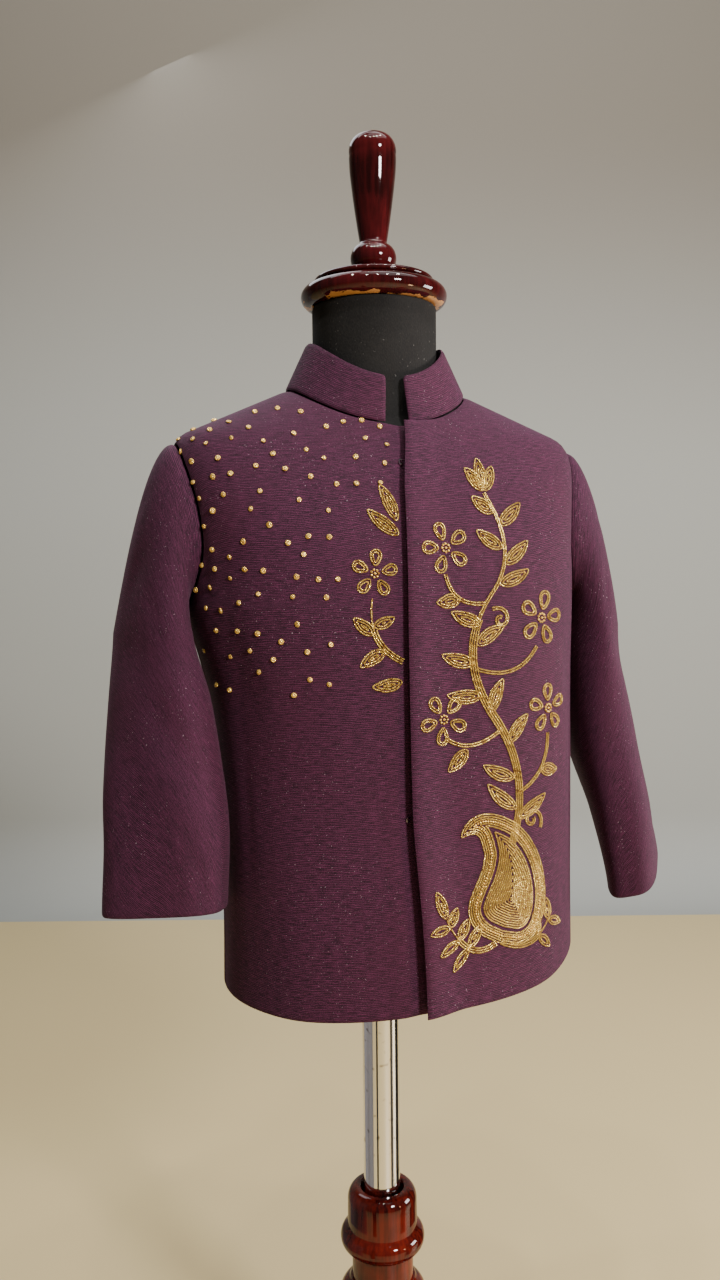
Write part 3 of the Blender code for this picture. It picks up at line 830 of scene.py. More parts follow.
@dataclass
class DressForm:
    """The covered torso and neck inside the jacket."""

    cut: BodyCut
    bottom_z: float = 0.398
    top_z: float = 0.8235
    neck_radius: float = 0.0410
    clear_hem: float = 0.0120
    clear_chest: float = 0.0060
    clear_shoulder: float = 0.0004
    tip_inset: float = 0.0100
    edge_round: float = 0.0016
    sides: int = 96

    def point(self, angle: float, climb: float) -> Vector:
        """Return a point of the form, clear of the cloth."""
        side = abs(math.cos(math.radians(angle))) ** 2
        seat = ease((climb - 1.0) * 4.0) * side
        clear = mix(self.clear_hem, self.clear_chest, ease(climb + 1.0))
        clear = mix(clear, self.clear_shoulder, seat)
        drape = self.cut.drape_at(angle, self.cut.point(angle, climb).z)
        out = WALL + clear + max(0.0, drape)
        made = self.cut.point(angle, climb) - self.cut.normal(angle, climb) * out
        tip = self.tip_inset * ease(climb * 3.0) * ease((1.45 - climb) * 2.0) * side
        made.x -= math.copysign(tip, made.x)
        return made

    def make(self) -> Piece:
        """Build the form as one closed mesh."""
        low = -(self.cut.armpit_z - self.bottom_z) / (self.cut.armpit_z - self.cut.hem_z)
        levels = [mix(low, 0.0, i / 10) for i in range(10)]
        levels += [i / 14 for i in range(14)] + [1.0 + i / 16 for i in range(16)]
        angles = [360.0 * i / self.sides for i in range(self.sides)]
        rows = [[self.point(angle, level) for angle in angles] for level in levels]
        for point in rows[0]:
            point.z = self.bottom_z
        shoulder = rows[-1]
        for share in (0.25, 0.45, 0.65, 0.8, 0.92, 1.0):
            row = []
            for angle, below in zip(angles, shoulder):
                turn = math.radians(angle)
                x, y = self.neck_radius * math.cos(turn), self.neck_radius * math.sin(turn)
                row.append(below.lerp(Vector((x, y, self.cut.neck_height(angle) + 0.006)), share))
            rows.append(row)
        neck = rows[-1]
        for share in (0.25, 0.5, 0.75, 0.9):
            rows.append([p.lerp(Vector((p.x, p.y, self.top_z)), share) for p in neck])
        for step in range(5):
            turn = math.pi / 2 * step / 4
            inset = self.edge_round * (1.0 - math.cos(turn))
            z = self.top_z - self.edge_round * (1.0 - math.sin(turn))
            scale = 1.0 - inset / self.neck_radius
            rows.append([Vector((p.x * scale, p.y * scale, z)) for p in neck])
        shape = bmesh.new()
        verts = [[shape.verts.new(point) for point in row] for row in rows]
        skin(shape, verts)
        shape.faces.new(verts[0])
        shape.faces.new(verts[-1])
        bmesh.ops.recalc_face_normals(shape, faces=shape.faces)
        return link_mesh("form_cover", shape, 50.0)


def arc(
    radius: float, z: float, across: float, up: float, start: float, end: float, count: int
) -> Path:
    """Return profile points on an arc about a centre: 90 degrees is up and 0 is out."""
    made = []
    for i in range(count + 1):
        turn = math.radians(mix(start, end, i / count))
        made.append((radius + across * math.cos(turn), z + up * math.sin(turn)))
    return made


def smooth_profile(points: Path, count: int) -> Path:
    """Return a finer profile on a smooth curve through a few points."""
    made = []
    for i in range(len(points) - 1):
        before, low = points[max(i - 1, 0)], points[i]
        high, after = points[i + 1], points[min(i + 2, len(points) - 1)]
        for step in range(count):
            values = zip(before, low, high, after)
            made.append(tuple(curve_between(*four, step / count) for four in values))
    return [*made, points[-1]]


@dataclass
class TurnedStand:
    """The lacquered wood and the pole, turned from profiles that run from the top down."""

    form_top: float = 0.8235
    form_bottom: float = 0.398
    seam: float = 0.0003
    cap_rim: float = 0.0483
    cap_disc: float = 0.0394
    cap_height: float = 0.0190
    finial_top: float = 0.9360
    hub_top: float = 0.2225
    hub_low: float = 0.1580
    socket_radius: float = 0.0147
    socket_floor: float = 0.1700
    pole_radius: float = 0.0127
    foot_height: float = 0.0300
    foot_radius: float = 0.1450
    steps: int = 96

    def turn(self, name: str, profile: Path) -> Piece:
        """Turn a profile round the upright axis.

        Args:
            name: The piece's name.
            profile: Radius and height pairs from the axis round the outside back to the axis.

        Returns:
            The closed, smoothly shaded piece.
        """
        shape = bmesh.new()
        rings = []
        for radius, z in profile:
            if radius < 1e-7:
                rings.append([shape.verts.new((0.0, 0.0, z))])
                continue
            ring = []
            for i in range(self.steps):
                way = math.tau * i / self.steps
                ring.append(shape.verts.new((radius * math.cos(way), radius * math.sin(way), z)))
            rings.append(ring)
        for upper, lower in zip(rings, rings[1:]):
            for i in range(self.steps):
                k = (i + 1) % self.steps
                corners = [upper[i % len(upper)], lower[i % len(lower)], lower[k % len(lower)]]
                corners.append(upper[k % len(upper)])
                shape.faces.new(list(dict.fromkeys(corners)))
        bmesh.ops.recalc_face_normals(shape, faces=shape.faces)
        return link_mesh(name, shape, 40.0)

    def neck_cap(self) -> Piece:
        """Build the low disc over its rounded rim."""
        low = self.form_top + self.seam
        top = low + self.cap_height
        profile = [(0.0, top), (self.cap_disc * 0.6, top)]
        profile += arc(self.cap_disc - 0.003, top - 0.002, 0.003, 0.002, 90, -60, 10)
        profile += arc(self.cap_rim - 0.007, low + 0.0068, 0.0070, 0.0068, 75, -90, 26)
        return self.turn("turned_neck_cap", profile + [(0.0, low)])

    def finial(self) -> Piece:
        """Build the handle: a flattened ball, a thin neck and a club that swells to its top."""
        low = self.form_top + self.cap_height + 2 * self.seam
        head = arc(0.0060, self.finial_top - 0.0110, 0.0096, 0.0110, 90, -14, 14)
        club = [(0.0156, 0.9222), (0.0151, 0.9110), (0.0130, 0.8930), (0.0107, 0.8770)]
        club += [(0.0090, 0.8665)]
        ball = arc(0.0070, low + 0.0130, 0.0082, 0.0095, 70, -70, 18)
        profile = [(0.0, self.finial_top)] + head + smooth_profile(club, 6)[1:]
        profile += ball + [(0.0110, low), (0.0, low)]
        return self.turn("turned_finial", profile)

    def pole(self) -> Piece:
        """Build the steel pole from the hub's socket to the form."""
        low, high = self.socket_floor + self.seam, self.form_bottom - self.seam
        profile = [(0.0, high), (self.pole_radius - 0.0004, high), (self.pole_radius, high - 0.0004)]
        profile += [(self.pole_radius, mix(high, low, i / 8)) for i in range(1, 8)]
        return self.turn("steel_pole", profile + [(self.pole_radius, low), (0.0, low)])

    def hub(self) -> Piece:
        """Build the rounded hub with its blind socket and its flange ring."""
        top = self.hub_top
        profile = [(0.0, self.socket_floor), (self.socket_radius, self.socket_floor)]
        profile += [(self.socket_radius, top - 0.0028)]
        profile += arc(0.0163, top - 0.0020, 0.0016, 0.0020, 180, 100, 5)
        profile += arc(0.0175, top - 0.0090, 0.0066, 0.0090, 100, 0, 14)
        barrel = [(0.0242, top - 0.0140), (0.0243, top - 0.0210), (0.0243, top - 0.0270)]
        waist = [(0.0216, top - 0.0450), (0.0213, top - 0.0500), (0.0213, self.hub_low)]
        profile += smooth_profile(barrel, 3)
        profile += arc(0.0232, top - 0.0355, 0.0061, 0.0076, 62, -70, 16)
        profile += smooth_profile(waist, 3)
        return self.turn("turned_hub", profile + [(0.0, self.hub_low)])

    def column(self) -> Piece:
        """Build the column: two bulbs, a long taper and a spreading base."""
        top, low = self.hub_low - self.seam, self.foot_height + self.seam
        shaft = [(0.0225, top - 0.0340), (0.0240, top - 0.0520), (0.0235, top - 0.0700)]
        shaft += [(0.0205, top - 0.0860)]
        base = [(0.0270, 0.0490), (0.0320, 0.0430), (0.0430, low + 0.0060), (0.0450, low)]
        profile = [(0.0, top), (0.0225, top)]
        profile += arc(0.0200, top - 0.0160, 0.0110, 0.0140, 70, -60, 18)
        profile += smooth_profile(shaft, 6)
        profile += arc(0.0230, 0.0620, 0.0110, 0.0120, 60, -60, 16)
        return self.turn("turned_column", profile + smooth_profile(base, 5) + [(0.0, low)])

    def foot(self) -> Piece:
        """Build the round foot on the floor."""
        top, radius = self.foot_height, self.foot_radius
        profile = [(0.0, top), (0.0560, top), (0.0900, top - 0.0008)]
        profile += arc(0.1120, top - 0.0080, 0.0120, 0.0050, 90, 10, 10)
        profile += arc(radius - 0.0090, 0.0100, 0.0090, 0.0080, 90, 0, 14)
        return self.turn("turned_foot", profile + [(radius - 0.0015, 0.0), (0.0, 0.0)])


def bent(start: Pair, pull: Pair, end: Pair, count: int) -> Path:
    """Return a curved path from start to end, pulled towards a point."""
    made = []
    for i in range(count + 1):
        t = i / count
        a, b, c = (1 - t) ** 2, 2 * t * (1 - t), t * t
        made.append((a * start[0] + b * pull[0] + c * end[0], a * start[1] + b * pull[1] + c * end[1]))
    return made


def spaced(path: Path, step: float) -> Path:
    """Return the same path with its points an even step apart."""
    lengths = [0.0]
    for a, b in zip(path, path[1:]):
        lengths.append(lengths[-1] + math.dist(a, b))
    count = max(2, round(lengths[-1] / step))
    made, at = [], 0
    for i in range(count + 1):
        reach = lengths[-1] * i / count
        while at < len(path) - 2 and lengths[at + 1] < reach:
            at += 1
        t = (reach - lengths[at]) / max(1e-9, lengths[at + 1] - lengths[at])
        made.append((mix(path[at][0], path[at + 1][0], t), mix(path[at][1], path[at + 1][1], t)))
    return made


def side_steps(path: Path) -> Path:
    """Return the direction to the left of a path at each of its points."""
    made = []
    for i in range(len(path)):
        a, b = path[max(i - 1, 0)], path[min(i + 1, len(path) - 1)]
        long = max(1e-9, math.dist(a, b))
        made.append((-(b[1] - a[1]) / long, (b[0] - a[0]) / long))
    return made


def beside(path: Path, sides: Path, offset: float) -> Path:
    """Return a path moved sideways by an offset."""
    return [(p[0] + s[0] * offset, p[1] + s[1] * offset) for p, s in zip(path, sides)]


def swollen(spine: Path, half_at: Callable[[float], float]) -> Path:
    """Return the outline of a form about its spine, from its half width at each share of the way."""
    upper, lower = [], []
    for i, ((x, z), side) in enumerate(zip(spine, side_steps(spine))):
        half = half_at(i / (len(spine) - 1))
        upper.append((x + side[0] * half, z + side[1] * half))
        lower.append((x - side[0] * half, z - side[1] * half))
    return upper + lower[::-1]


def inset_line(outline: Path, step: float, inset: float, near: float) -> list[Pair | None]:
    """Move a closed outline inwards.

    Args:
        outline: The closed path, without its first point repeated at the end.
        step: How far apart its points are set first.
        inset: How far they move in.
        near: The share of the inset that a moved point has to keep from the whole outline.

    Returns:
        The moved points, with None for each that comes too near the outline.
    """
    ring = spaced([*outline, outline[0]], step)[:-1]
    area = sum(a[0] * b[1] - b[0] * a[1] for a, b in zip(ring, [*ring[1:], ring[0]]))
    sides = side_steps([ring[-1], *ring, ring[0]])[1:-1]
    made = []
    for x, z in beside(ring, sides, math.copysign(inset, area)):
        gap = min((x - p[0]) ** 2 + (z - p[1]) ** 2 for p in ring)
        made.append((x, z) if gap >= (inset * near) ** 2 else None)
    return made


@dataclass
class VineDesign:
    """A flowering vine with a paisley, drawn flat as paths for couched cord.

    Every closed form is filled with rows that follow its outline, as a couched gold filling is worked.
    """

    pitch: float = 0.00150
    step: float = 0.0013
    cords: list[Path] = field(default_factory=list)
    beads: list[Path] = field(default_factory=list)

    def fill(self, outline: Path, rows: int = 99, skip: Sequence[int] = ()) -> None:
        """Fill a closed outline with rows that follow it, from its edge inwards.

        Args:
            outline: The closed path, without its first point repeated at the end.
            rows: The most rows to work.
            skip: Rows that are left open for the ground to show.
        """
        for row in range(rows):
            run: Path = []
            runs: list[Path] = []
            line = inset_line(outline, self.step * 0.8, (row + 0.5) * self.pitch, 0.985)
            for point in line:
                if point is not None:
                    run.append(point)
                elif run:
                    runs.append(run)
                    run = []
            if run and runs:
                runs[0] = run + runs[0]
            elif run:
                runs.append([*run, run[0]] if len(run) == len(line) else run)
            kept = [part for part in runs if len(part) > 2]
            if not kept:
                break
            if row not in skip:
                self.cords += [spaced(part, self.step) for part in kept]

    def stem(self, path: Path, lanes: int, taper: float = 0.0) -> None:
        """Lay a stem of cords side by side, fewer towards its end."""
        path = spaced(path, self.step)
        sides = side_steps(path)
        for lane in range(lanes):
            from_middle = lane - (lanes - 1) / 2
            end = len(path) if abs(from_middle) < 0.6 else int(len(path) * (1.0 - taper))
            if end > 2:
                self.cords.append(beside(path, sides, from_middle * self.pitch)[:end])

    def leaf(self, base: Pair, turn: float, length: float, width: float, bend: float) -> None:
        """Fill a leaf that grows from its base at a turn in degrees, bending to its left or right."""
        way = math.radians(turn)
        ahead, left = (math.cos(way), math.sin(way)), (-math.sin(way), math.cos(way))
        tip = tuple(b + a * length + s * bend * length for b, a, s in zip(base, ahead, left))
        pull = tuple(b + a * length * 0.55 for b, a in zip(base, ahead))
        spine = bent(base, pull, tip, 24)
        self.fill(swollen(spine, lambda t: width / 2 * math.sin(math.pi * t**0.8) ** 0.75 + 0.0004))

    def flower(self, centre: Pair, radius: float, turn: float) -> None:
        """Fill five round petals about an open eye ringed with beads."""
        for petal in range(5):
            way = math.radians(turn + 72.0 * petal)
            ahead, left = (math.cos(way), math.sin(way)), (-math.sin(way), math.cos(way))
            outline = []
            for i in range(28):
                around = math.tau * i / 28
                share = (1.0 - math.cos(around)) / 2
                along = mix(0.26, 1.0, share) * radius
                spread = math.sin(around) * radius * 0.34 * (0.55 + 0.45 * share)
                outline.append(tuple(c + a * along + s * spread for c, a, s in zip(centre, ahead, left)))
            self.fill(outline, skip=(2,))
        self.beads.append(self.circle(centre, radius * 0.15))
        self.beads.append([centre, (centre[0] + 0.0002, centre[1])])

    def circle(self, centre: Pair, radius: float) -> Path:
        """Return a closed circle."""
        turns = [math.tau * i / 24 for i in range(25)]
        return [(centre[0] + radius * math.cos(t), centre[1] + radius * math.sin(t)) for t in turns]

    def tendril(self, base: Pair, turn: float, size: float, hand: int) -> None:
        """Lay a curling tendril of one pair of cords."""
        path = []
        for i in range(44):
            t = i / 43
            way = math.radians(turn + hand * 430.0 * t**1.25)
            step = size * 0.052 * (1.0 - 0.72 * t)
            last = path[-1] if path else base
            path.append((last[0] + math.cos(way) * step, last[1] + math.sin(way) * step))
        self.stem(path, 2, 0.12)

    def paisley(self, base: Pair, height: float, width: float) -> None:
        """Fill a paisley whose belly stands on its base and whose long tip curls over to one side."""
        bends = ((0.0, 0.0), (0.34, 0.56), (0.05, 0.86), (-0.26, 1.13), (-0.50, 0.92))
        places = [(base[0] + width * across, base[1] + height * up) for across, up in bends]
        spine = bent(*places[:3], 40) + bent(*places[2:], 16)[1:]
        outline = swollen(
            spaced(spine, height * 0.018),
            lambda t: width / 2 * math.sin(math.pi * t**0.54) ** 0.80 * (1.0 - 0.42 * t) * 1.22 + 0.0006,
        )
        self.fill(outline, rows=6, skip=(3,))
        self.beads.append(self.inner_line(outline, self.pitch * 3.5))
        self.fill(self.inner_line(outline, self.pitch * 7.0))

    def inner_line(self, outline: Path, inset: float) -> Path:
        """Return a closed line inside an outline, where it keeps its distance."""
        return [point for point in inset_line(outline, self.step, inset, 0.98) if point is not None]

    def draw_left(self) -> None:
        """Draw the vine on the wearer's left front."""
        self.paisley((0.056, 0.415), 0.076, 0.052)
        main = bent((0.066, 0.478), (0.082, 0.520), (0.052, 0.560), 24)
        main += bent((0.052, 0.560), (0.022, 0.602), (0.054, 0.640), 24)[1:]
        main += bent((0.054, 0.640), (0.070, 0.664), (0.050, 0.698), 16)[1:]
        self.stem(main, 4, 0.35)
        self.stem(bent((0.071, 0.510), (0.095, 0.520), (0.094, 0.546), 16), 2)
        self.stem(bent((0.058, 0.552), (0.036, 0.536), (0.020, 0.548), 16), 2)
        self.stem(bent((0.040, 0.590), (0.068, 0.580), (0.084, 0.602), 16), 2)
        self.stem(bent((0.046, 0.630), (0.024, 0.628), (0.020, 0.648), 14), 2)
        self.flower((0.094, 0.562), 0.0165, 20.0)
        self.flower((0.018, 0.560), 0.0165, 50.0)
        self.flower((0.088, 0.620), 0.0180, 5.0)
        self.flower((0.021, 0.664), 0.0165, 35.0)
        for turn, length in ((60.0, 0.019), (92.0, 0.022), (124.0, 0.019)):
            self.leaf((0.050, 0.699), turn, length, 0.0086, 0.05)
        shoots = (
            (0.070, 0.494, 20.0, 0.026, 0.18),
            (0.070, 0.500, 152.0, 0.028, -0.20),
            (0.068, 0.520, 168.0, 0.025, -0.20),
            (0.063, 0.542, 60.0, 0.023, -0.15),
            (0.050, 0.562, 78.0, 0.023, -0.18),
            (0.044, 0.574, 190.0, 0.024, -0.22),
            (0.039, 0.594, 178.0, 0.023, -0.22),
            (0.040, 0.604, 40.0, 0.023, -0.15),
            (0.044, 0.618, 172.0, 0.022, -0.22),
            (0.056, 0.642, 10.0, 0.024, 0.20),
            (0.060, 0.654, 30.0, 0.024, 0.15),
            (0.060, 0.664, 158.0, 0.021, -0.18),
            (0.058, 0.678, 32.0, 0.023, 0.15),
            (0.056, 0.686, 156.0, 0.018, -0.18),
            (0.088, 0.524, -20.0, 0.016, 0.18),
            (0.034, 0.541, 235.0, 0.019, -0.15),
            (0.030, 0.634, 200.0, 0.017, -0.18),
        )
        for x, z, turn, length, bend in shoots:
            self.leaf((x, z), turn, length, 0.0088, bend)
        frond = bent((0.054, 0.416), (0.034, 0.404), (0.019, 0.436), 20)
        self.stem(frond, 3, 0.3)
        for i, reach in enumerate((10, 14, 18)):
            self.leaf(frond[reach], 64.0 + 4.0 * i, 0.017 - 0.0018 * i, 0.0072, -0.10)
            self.leaf(frond[reach], 222.0 - 20.0 * i, 0.018 - 0.0014 * i, 0.0066, 0.12)
        self.leaf(frond[-1], 108.0, 0.020, 0.0074, 0.05)
        other = bent((0.058, 0.416), (0.084, 0.402), (0.098, 0.428), 20)
        self.stem(other, 3, 0.3)
        for i, reach in enumerate((13, 18)):
            self.leaf(other[reach], 100.0 - 6.0 * i, 0.017 - 0.001 * i, 0.0070, 0.10)
            self.leaf(other[reach], -38.0 + 20.0 * i, 0.015, 0.0064, -0.12)
        self.tendril((0.088, 0.484), 70.0, 0.024, 1)
        self.tendril((0.050, 0.626), 20.0, 0.022, -1)

    def draw_right(self) -> None:
        """Draw the sprigs that show past the lap on the wearer's right front."""
        stem = bent((-0.007, 0.596), (-0.030, 0.606), (-0.026, 0.634), 18)
        self.stem(stem, 3, 0.4)
        self.flower((-0.024, 0.649), 0.0150, 12.0)
        self.leaf(stem[5], 205.0, 0.019, 0.0082, 0.12)
        self.leaf(stem[10], 150.0, 0.017, 0.0078, -0.15)
        self.leaf(stem[12], 15.0, 0.015, 0.0070, 0.12)
        self.leaf((-0.007, 0.672), 150.0, 0.025, 0.0084, -0.15)
        self.leaf((-0.008, 0.680), 108.0, 0.025, 0.0082, 0.10)
        self.leaf((-0.007, 0.584), 196.0, 0.020, 0.0080, -0.15)


class NodeTree:
    """A short hand for building node trees: new nodes, links and socket values."""

    def __init__(self, tree: Tree) -> None:
        """Work on an existing tree."""
        self.tree = tree

    def put(self, socket: Socket, value: Value) -> None:
        """Feed an input from a socket, or set it to a value."""
        if isinstance(value, bpy.types.NodeSocket):
            self.tree.links.new(value, socket)
        else:
            socket.default_value = value

    def add(self, kind: str, feeds: dict[str | int, Value] | None = None, **values) -> bpy.types.Node:
        """Add a node, set its properties and then its inputs.

        Args:
            kind: Blender's name of the node type.
            feeds: Each input's name or number, with its value or the socket that feeds it.
            **values: Properties of the node.

        Returns:
            The node.
        """
        node = self.tree.nodes.new(kind)
        for name, value in values.items():
            setattr(node, name, value)
        for name, value in (feeds or {}).items():
            self.put(node.inputs[name], value)
        return node

    def given(self, name: str) -> Socket:
        """Return one of the tree's own inputs."""
        return self.tree.nodes["Group Input"].outputs[name]

    def give(self, **results: Socket) -> Tree:
        """Put out the tree's results, and return the tree."""
        for name, result in results.items():
            self.put(self.tree.nodes["Group Output"].inputs[name], result)
        return self.tree

    def maths(self, operation: str, *values: Value) -> Socket:
        """Add a Math node fed by numbers or sockets, and return its output."""
        return self.add("ShaderNodeMath", dict(enumerate(values)), operation=operation).outputs[0]

    def times(self, a: Value, b: Value) -> Socket:
        """Multiply two values."""
        return self.maths("MULTIPLY", a, b)

    def plus(self, a: Value, b: Value) -> Socket:
        """Add two values."""
        return self.maths("ADD", a, b)

    def minus(self, a: Value, b: Value) -> Socket:
        """Take the second value from the first."""
        return self.maths("SUBTRACT", a, b)

    def wave(self, value: Socket, length: Socket) -> Socket:
        """Run a sine wave of a given length along a value."""
        return self.maths("SINE", self.maths("DIVIDE", self.times(value, math.tau), length))

    def noise(self, vector: Socket, scale: Value, detail: float) -> Socket:
        """Add a Noise Texture on a vector, and return its value."""
        feeds = {"Vector": vector, "Scale": scale, "Detail": detail}
        return self.add("ShaderNodeTexNoise", feeds).outputs["Fac"]

    def stretched(self, vector: Socket, scale: Triple) -> Socket:
        """Scale a vector by an amount on each axis."""
        return self.add("ShaderNodeVectorMath", {0: vector, 1: scale}, operation="MULTIPLY").outputs[0]

    def range_of(self, value: Socket, low: float, high: float) -> Socket:
        """Stretch a range of values smoothly to 0 to 1."""
        feeds = {"Value": value, "From Min": low, "From Max": high}
        node = self.add("ShaderNodeMapRange", feeds, interpolation_type="SMOOTHSTEP")
        return node.outputs["Result"]

    def blend(self, share: Socket, low: Value, high: Value) -> Socket:
        """Mix two colours, given as values or sockets."""
        return self.add("ShaderNodeMix", {0: share, 6: low, 7: high}, data_type="RGBA").outputs[2]

    def parts(self, vector: Socket) -> Sequence[Socket]:
        """Return a vector's x, y and z."""
        return self.add("ShaderNodeSeparateXYZ", {0: vector}).outputs


def new_group(name: str, inputs: dict[str, float | str], outputs: Sequence[str]) -> NodeTree:
    """Start a shader node group with named inputs and outputs.

    Args:
        name: The group's name.
        inputs: Each input's name with its usual value, or "vector" for a vector.
        outputs: The names of the values that it puts out.

    Returns:
        The group's tree, with its input and output nodes in place.
    """
    tree = bpy.data.node_groups.new(name, "ShaderNodeTree")
    for label, value in inputs.items():
        kind = "NodeSocketVector" if value == "vector" else "NodeSocketFloat"
        made = tree.interface.new_socket(label, in_out="INPUT", socket_type=kind)
        if value != "vector":
            made.default_value = value
    for label in outputs:
        tree.interface.new_socket(label, in_out="OUTPUT", socket_type="NodeSocketFloat")
    tree.nodes.new("NodeGroupInput")
    tree.nodes.new("NodeGroupOutput")
    return NodeTree(tree)


class Effects:
    """The shader groups that several finishes share."""

    def __init__(self) -> None:
        """Build each group once."""
        self.weave = self.build_weave()
        self.speckle = self.build_speckle()
        self.grain = self.build_grain()
        self.cord = self.build_cord()

    def build_weave(self) -> Tree:
        """Build a ribbed weave: a height, and a tone that follows the ribs' broken threads, with painted
        shade in the rib grooves.
        """
        inputs = {"Cloth": "vector", "Rib": 0.0014, "Thread": 0.0008}
        nodes = new_group("Ribbed weave", inputs, ("Height", "Tone"))
        cloth = nodes.given("Cloth")
        parts = nodes.parts(cloth)
        shift = nodes.times(nodes.minus(nodes.noise(cloth, 95.0, 2.0), 0.5), 0.0010)
        rib = nodes.wave(nodes.plus(parts[1], shift), nodes.given("Rib"))
        thread = nodes.wave(parts[0], nodes.given("Thread"))
        streak = nodes.noise(nodes.stretched(cloth, (150.0, 1250.0, 1.0)), 1.0, 2.0)
        slub = nodes.noise(nodes.stretched(cloth, (1500.0, 1500.0, 1.0)), 1.0, 1.0)
        height = nodes.plus(nodes.times(rib, 0.30), nodes.times(thread, 0.12))
        height = nodes.plus(height, nodes.times(streak, 1.1))
        height = nodes.plus(height, nodes.times(slub, 0.7))
        # The rib's share of the tone is painted shade in the rib grooves; the streaks and slubs are the
        # yarn's own uneven colour.
        tone = nodes.plus(nodes.times(rib, 0.16), nodes.times(streak, 0.95))
        tone = nodes.plus(tone, nodes.times(nodes.minus(slub, 0.5), 0.85))
        return nodes.give(Height=height, Tone=tone)

    def build_speckle(self) -> Tree:
        """Build sparse small flecks, such as lint or dust."""
        nodes = new_group("Flecks", {"Place": "vector", "Size": 900.0, "Rarity": 0.74}, ("Mask",))
        fine = nodes.noise(nodes.given("Place"), nodes.given("Size"), 0.0)
        patch = nodes.noise(nodes.given("Place"), 22.0, 2.0)
        level = nodes.times(nodes.minus(fine, nodes.given("Rarity")), 16.0)
        mask = nodes.times(level, nodes.range_of(patch, 0.35, 0.62))
        return nodes.give(Mask=nodes.maths("MINIMUM", nodes.maths("MAXIMUM", mask, 0.0), 1.0))

    def build_grain(self) -> Tree:
        """Build wood grain that runs up the piece, as a tone, and broad clouds in its colour."""
        nodes = new_group("Upright grain", {"Place": "vector", "Fineness": 1.0}, ("Tone", "Cloud"))
        feeds = {0: nodes.given("Place"), "Scale": nodes.given("Fineness")}
        scaled = nodes.add("ShaderNodeVectorMath", feeds, operation="SCALE").outputs[0]
        lines = nodes.noise(nodes.stretched(scaled, (420.0, 420.0, 22.0)), 1.0, 4.0)
        return nodes.give(Tone=nodes.range_of(lines, 0.32, 0.70), Cloud=nodes.noise(scaled, 34.0, 3.0))

    def build_cord(self) -> Tree:
        """Build the twist of a metal cord along its own length, as a height and a tone: the tone paints shade
        into the twist's grooves, and bright glints and dark spots in short stretches along the cord.
        """
        nodes = new_group("Twisted cord", {"Along": "vector", "Twist": 0.0011}, ("Height", "Tone"))
        parts = nodes.parts(nodes.given("Along"))
        turn = nodes.plus(nodes.maths("DIVIDE", parts[0], nodes.given("Twist")), parts[1])
        wave = nodes.maths("SINE", nodes.times(turn, math.tau))
        cut = nodes.noise(nodes.stretched(nodes.given("Along"), (460.0, 3.0, 1.0)), 1.0, 2.0)
        # Painted light: the twist's wave darkens its grooves and lightens its crests, and the stretched noise
        # paints bright glints and dark spots along the cord.
        tone = nodes.plus(nodes.times(wave, 0.16), nodes.range_of(cut, 0.38, 0.54))
        return nodes.give(Height=wave, Tone=tone)


class Finish:
    """A material in the making: its tree, its shader and the maps that it can read."""

    def __init__(self, name: str) -> None:
        """Start the material."""
        self.material = bpy.data.materials.new(name)
        self.material.use_nodes = True
        self.nodes = NodeTree(self.material.node_tree)
        self.shader = self.material.node_tree.nodes["Principled BSDF"]

    def place(self) -> Socket:
        """Return object coordinates in metres."""
        return self.nodes.add("ShaderNodeTexCoord").outputs["Object"]

    def map(self, name: str) -> Socket:
        """Return a UV map by name."""
        return self.nodes.add("ShaderNodeUVMap", uv_map=name).outputs["UV"]

    def group(self, tree: Tree, **values: Value) -> Sequence[Socket]:
        """Place a shared group with its inputs set or fed, and return its outputs."""
        return self.nodes.add("ShaderNodeGroup", values, node_tree=tree).outputs

    def bump(self, height: Socket, distance: float, strength: float) -> None:
        """Feed the shader's normal from a height."""
        feeds = {"Distance": distance, "Strength": strength, "Height": height}
        self.set(Normal=self.nodes.add("ShaderNodeBump", feeds).outputs["Normal"])

    def set(self, **values: Value) -> None:
        """Set or feed the shader's own sockets, with underscores for spaces."""
        for name, value in values.items():
            self.nodes.put(self.shader.inputs[name.replace("_", " ")], value)


@dataclass(frozen=True)
class Suiting:
    """The jacket's ribbed plum cloth."""

    deep: Colour = (0.0150, 0.0036, 0.0105, 1.0)
    lit: Colour = (0.094, 0.0190, 0.0560, 1.0)
    worn: Colour = (0.062, 0.0110, 0.0300, 1.0)
    lint: Colour = (0.42, 0.32, 0.38, 1.0)
    sheen: Colour = (0.72, 0.42, 0.66, 1.0)

    def make(self, effects: Effects) -> Material:
        """Build the material."""
        finish = Finish("plum suiting")
        nodes, cloth = finish.nodes, finish.map("cloth")
        weave = finish.group(effects.weave, Cloth=cloth, Rib=0.0011, Thread=0.0008)
        # The blend from deep to lit carries the weave's painted rib shade over the yarn's own tone.
        base = nodes.blend(nodes.range_of(weave["Tone"], 0.24, 0.86), self.deep, self.lit)
        share = nodes.times(nodes.range_of(nodes.noise(cloth, 9.0, 3.0), 0.42, 0.75), 0.35)
        base = nodes.blend(share, base, self.worn)
        lint = finish.group(effects.speckle, Place=finish.place(), Size=1300.0, Rarity=0.775)
        base = nodes.blend(nodes.times(lint["Mask"], 0.45), base, self.lint)
        finish.set(Base_Color=base, Roughness=nodes.plus(nodes.times(weave["Tone"], 0.12), 0.76))
        finish.set(Sheen_Weight=0.07, Sheen_Roughness=0.45, Sheen_Tint=self.sheen)
        finish.set(Specular_IOR_Level=0.20)
        finish.bump(weave["Height"], 0.00018, 0.60)
        return finish.material


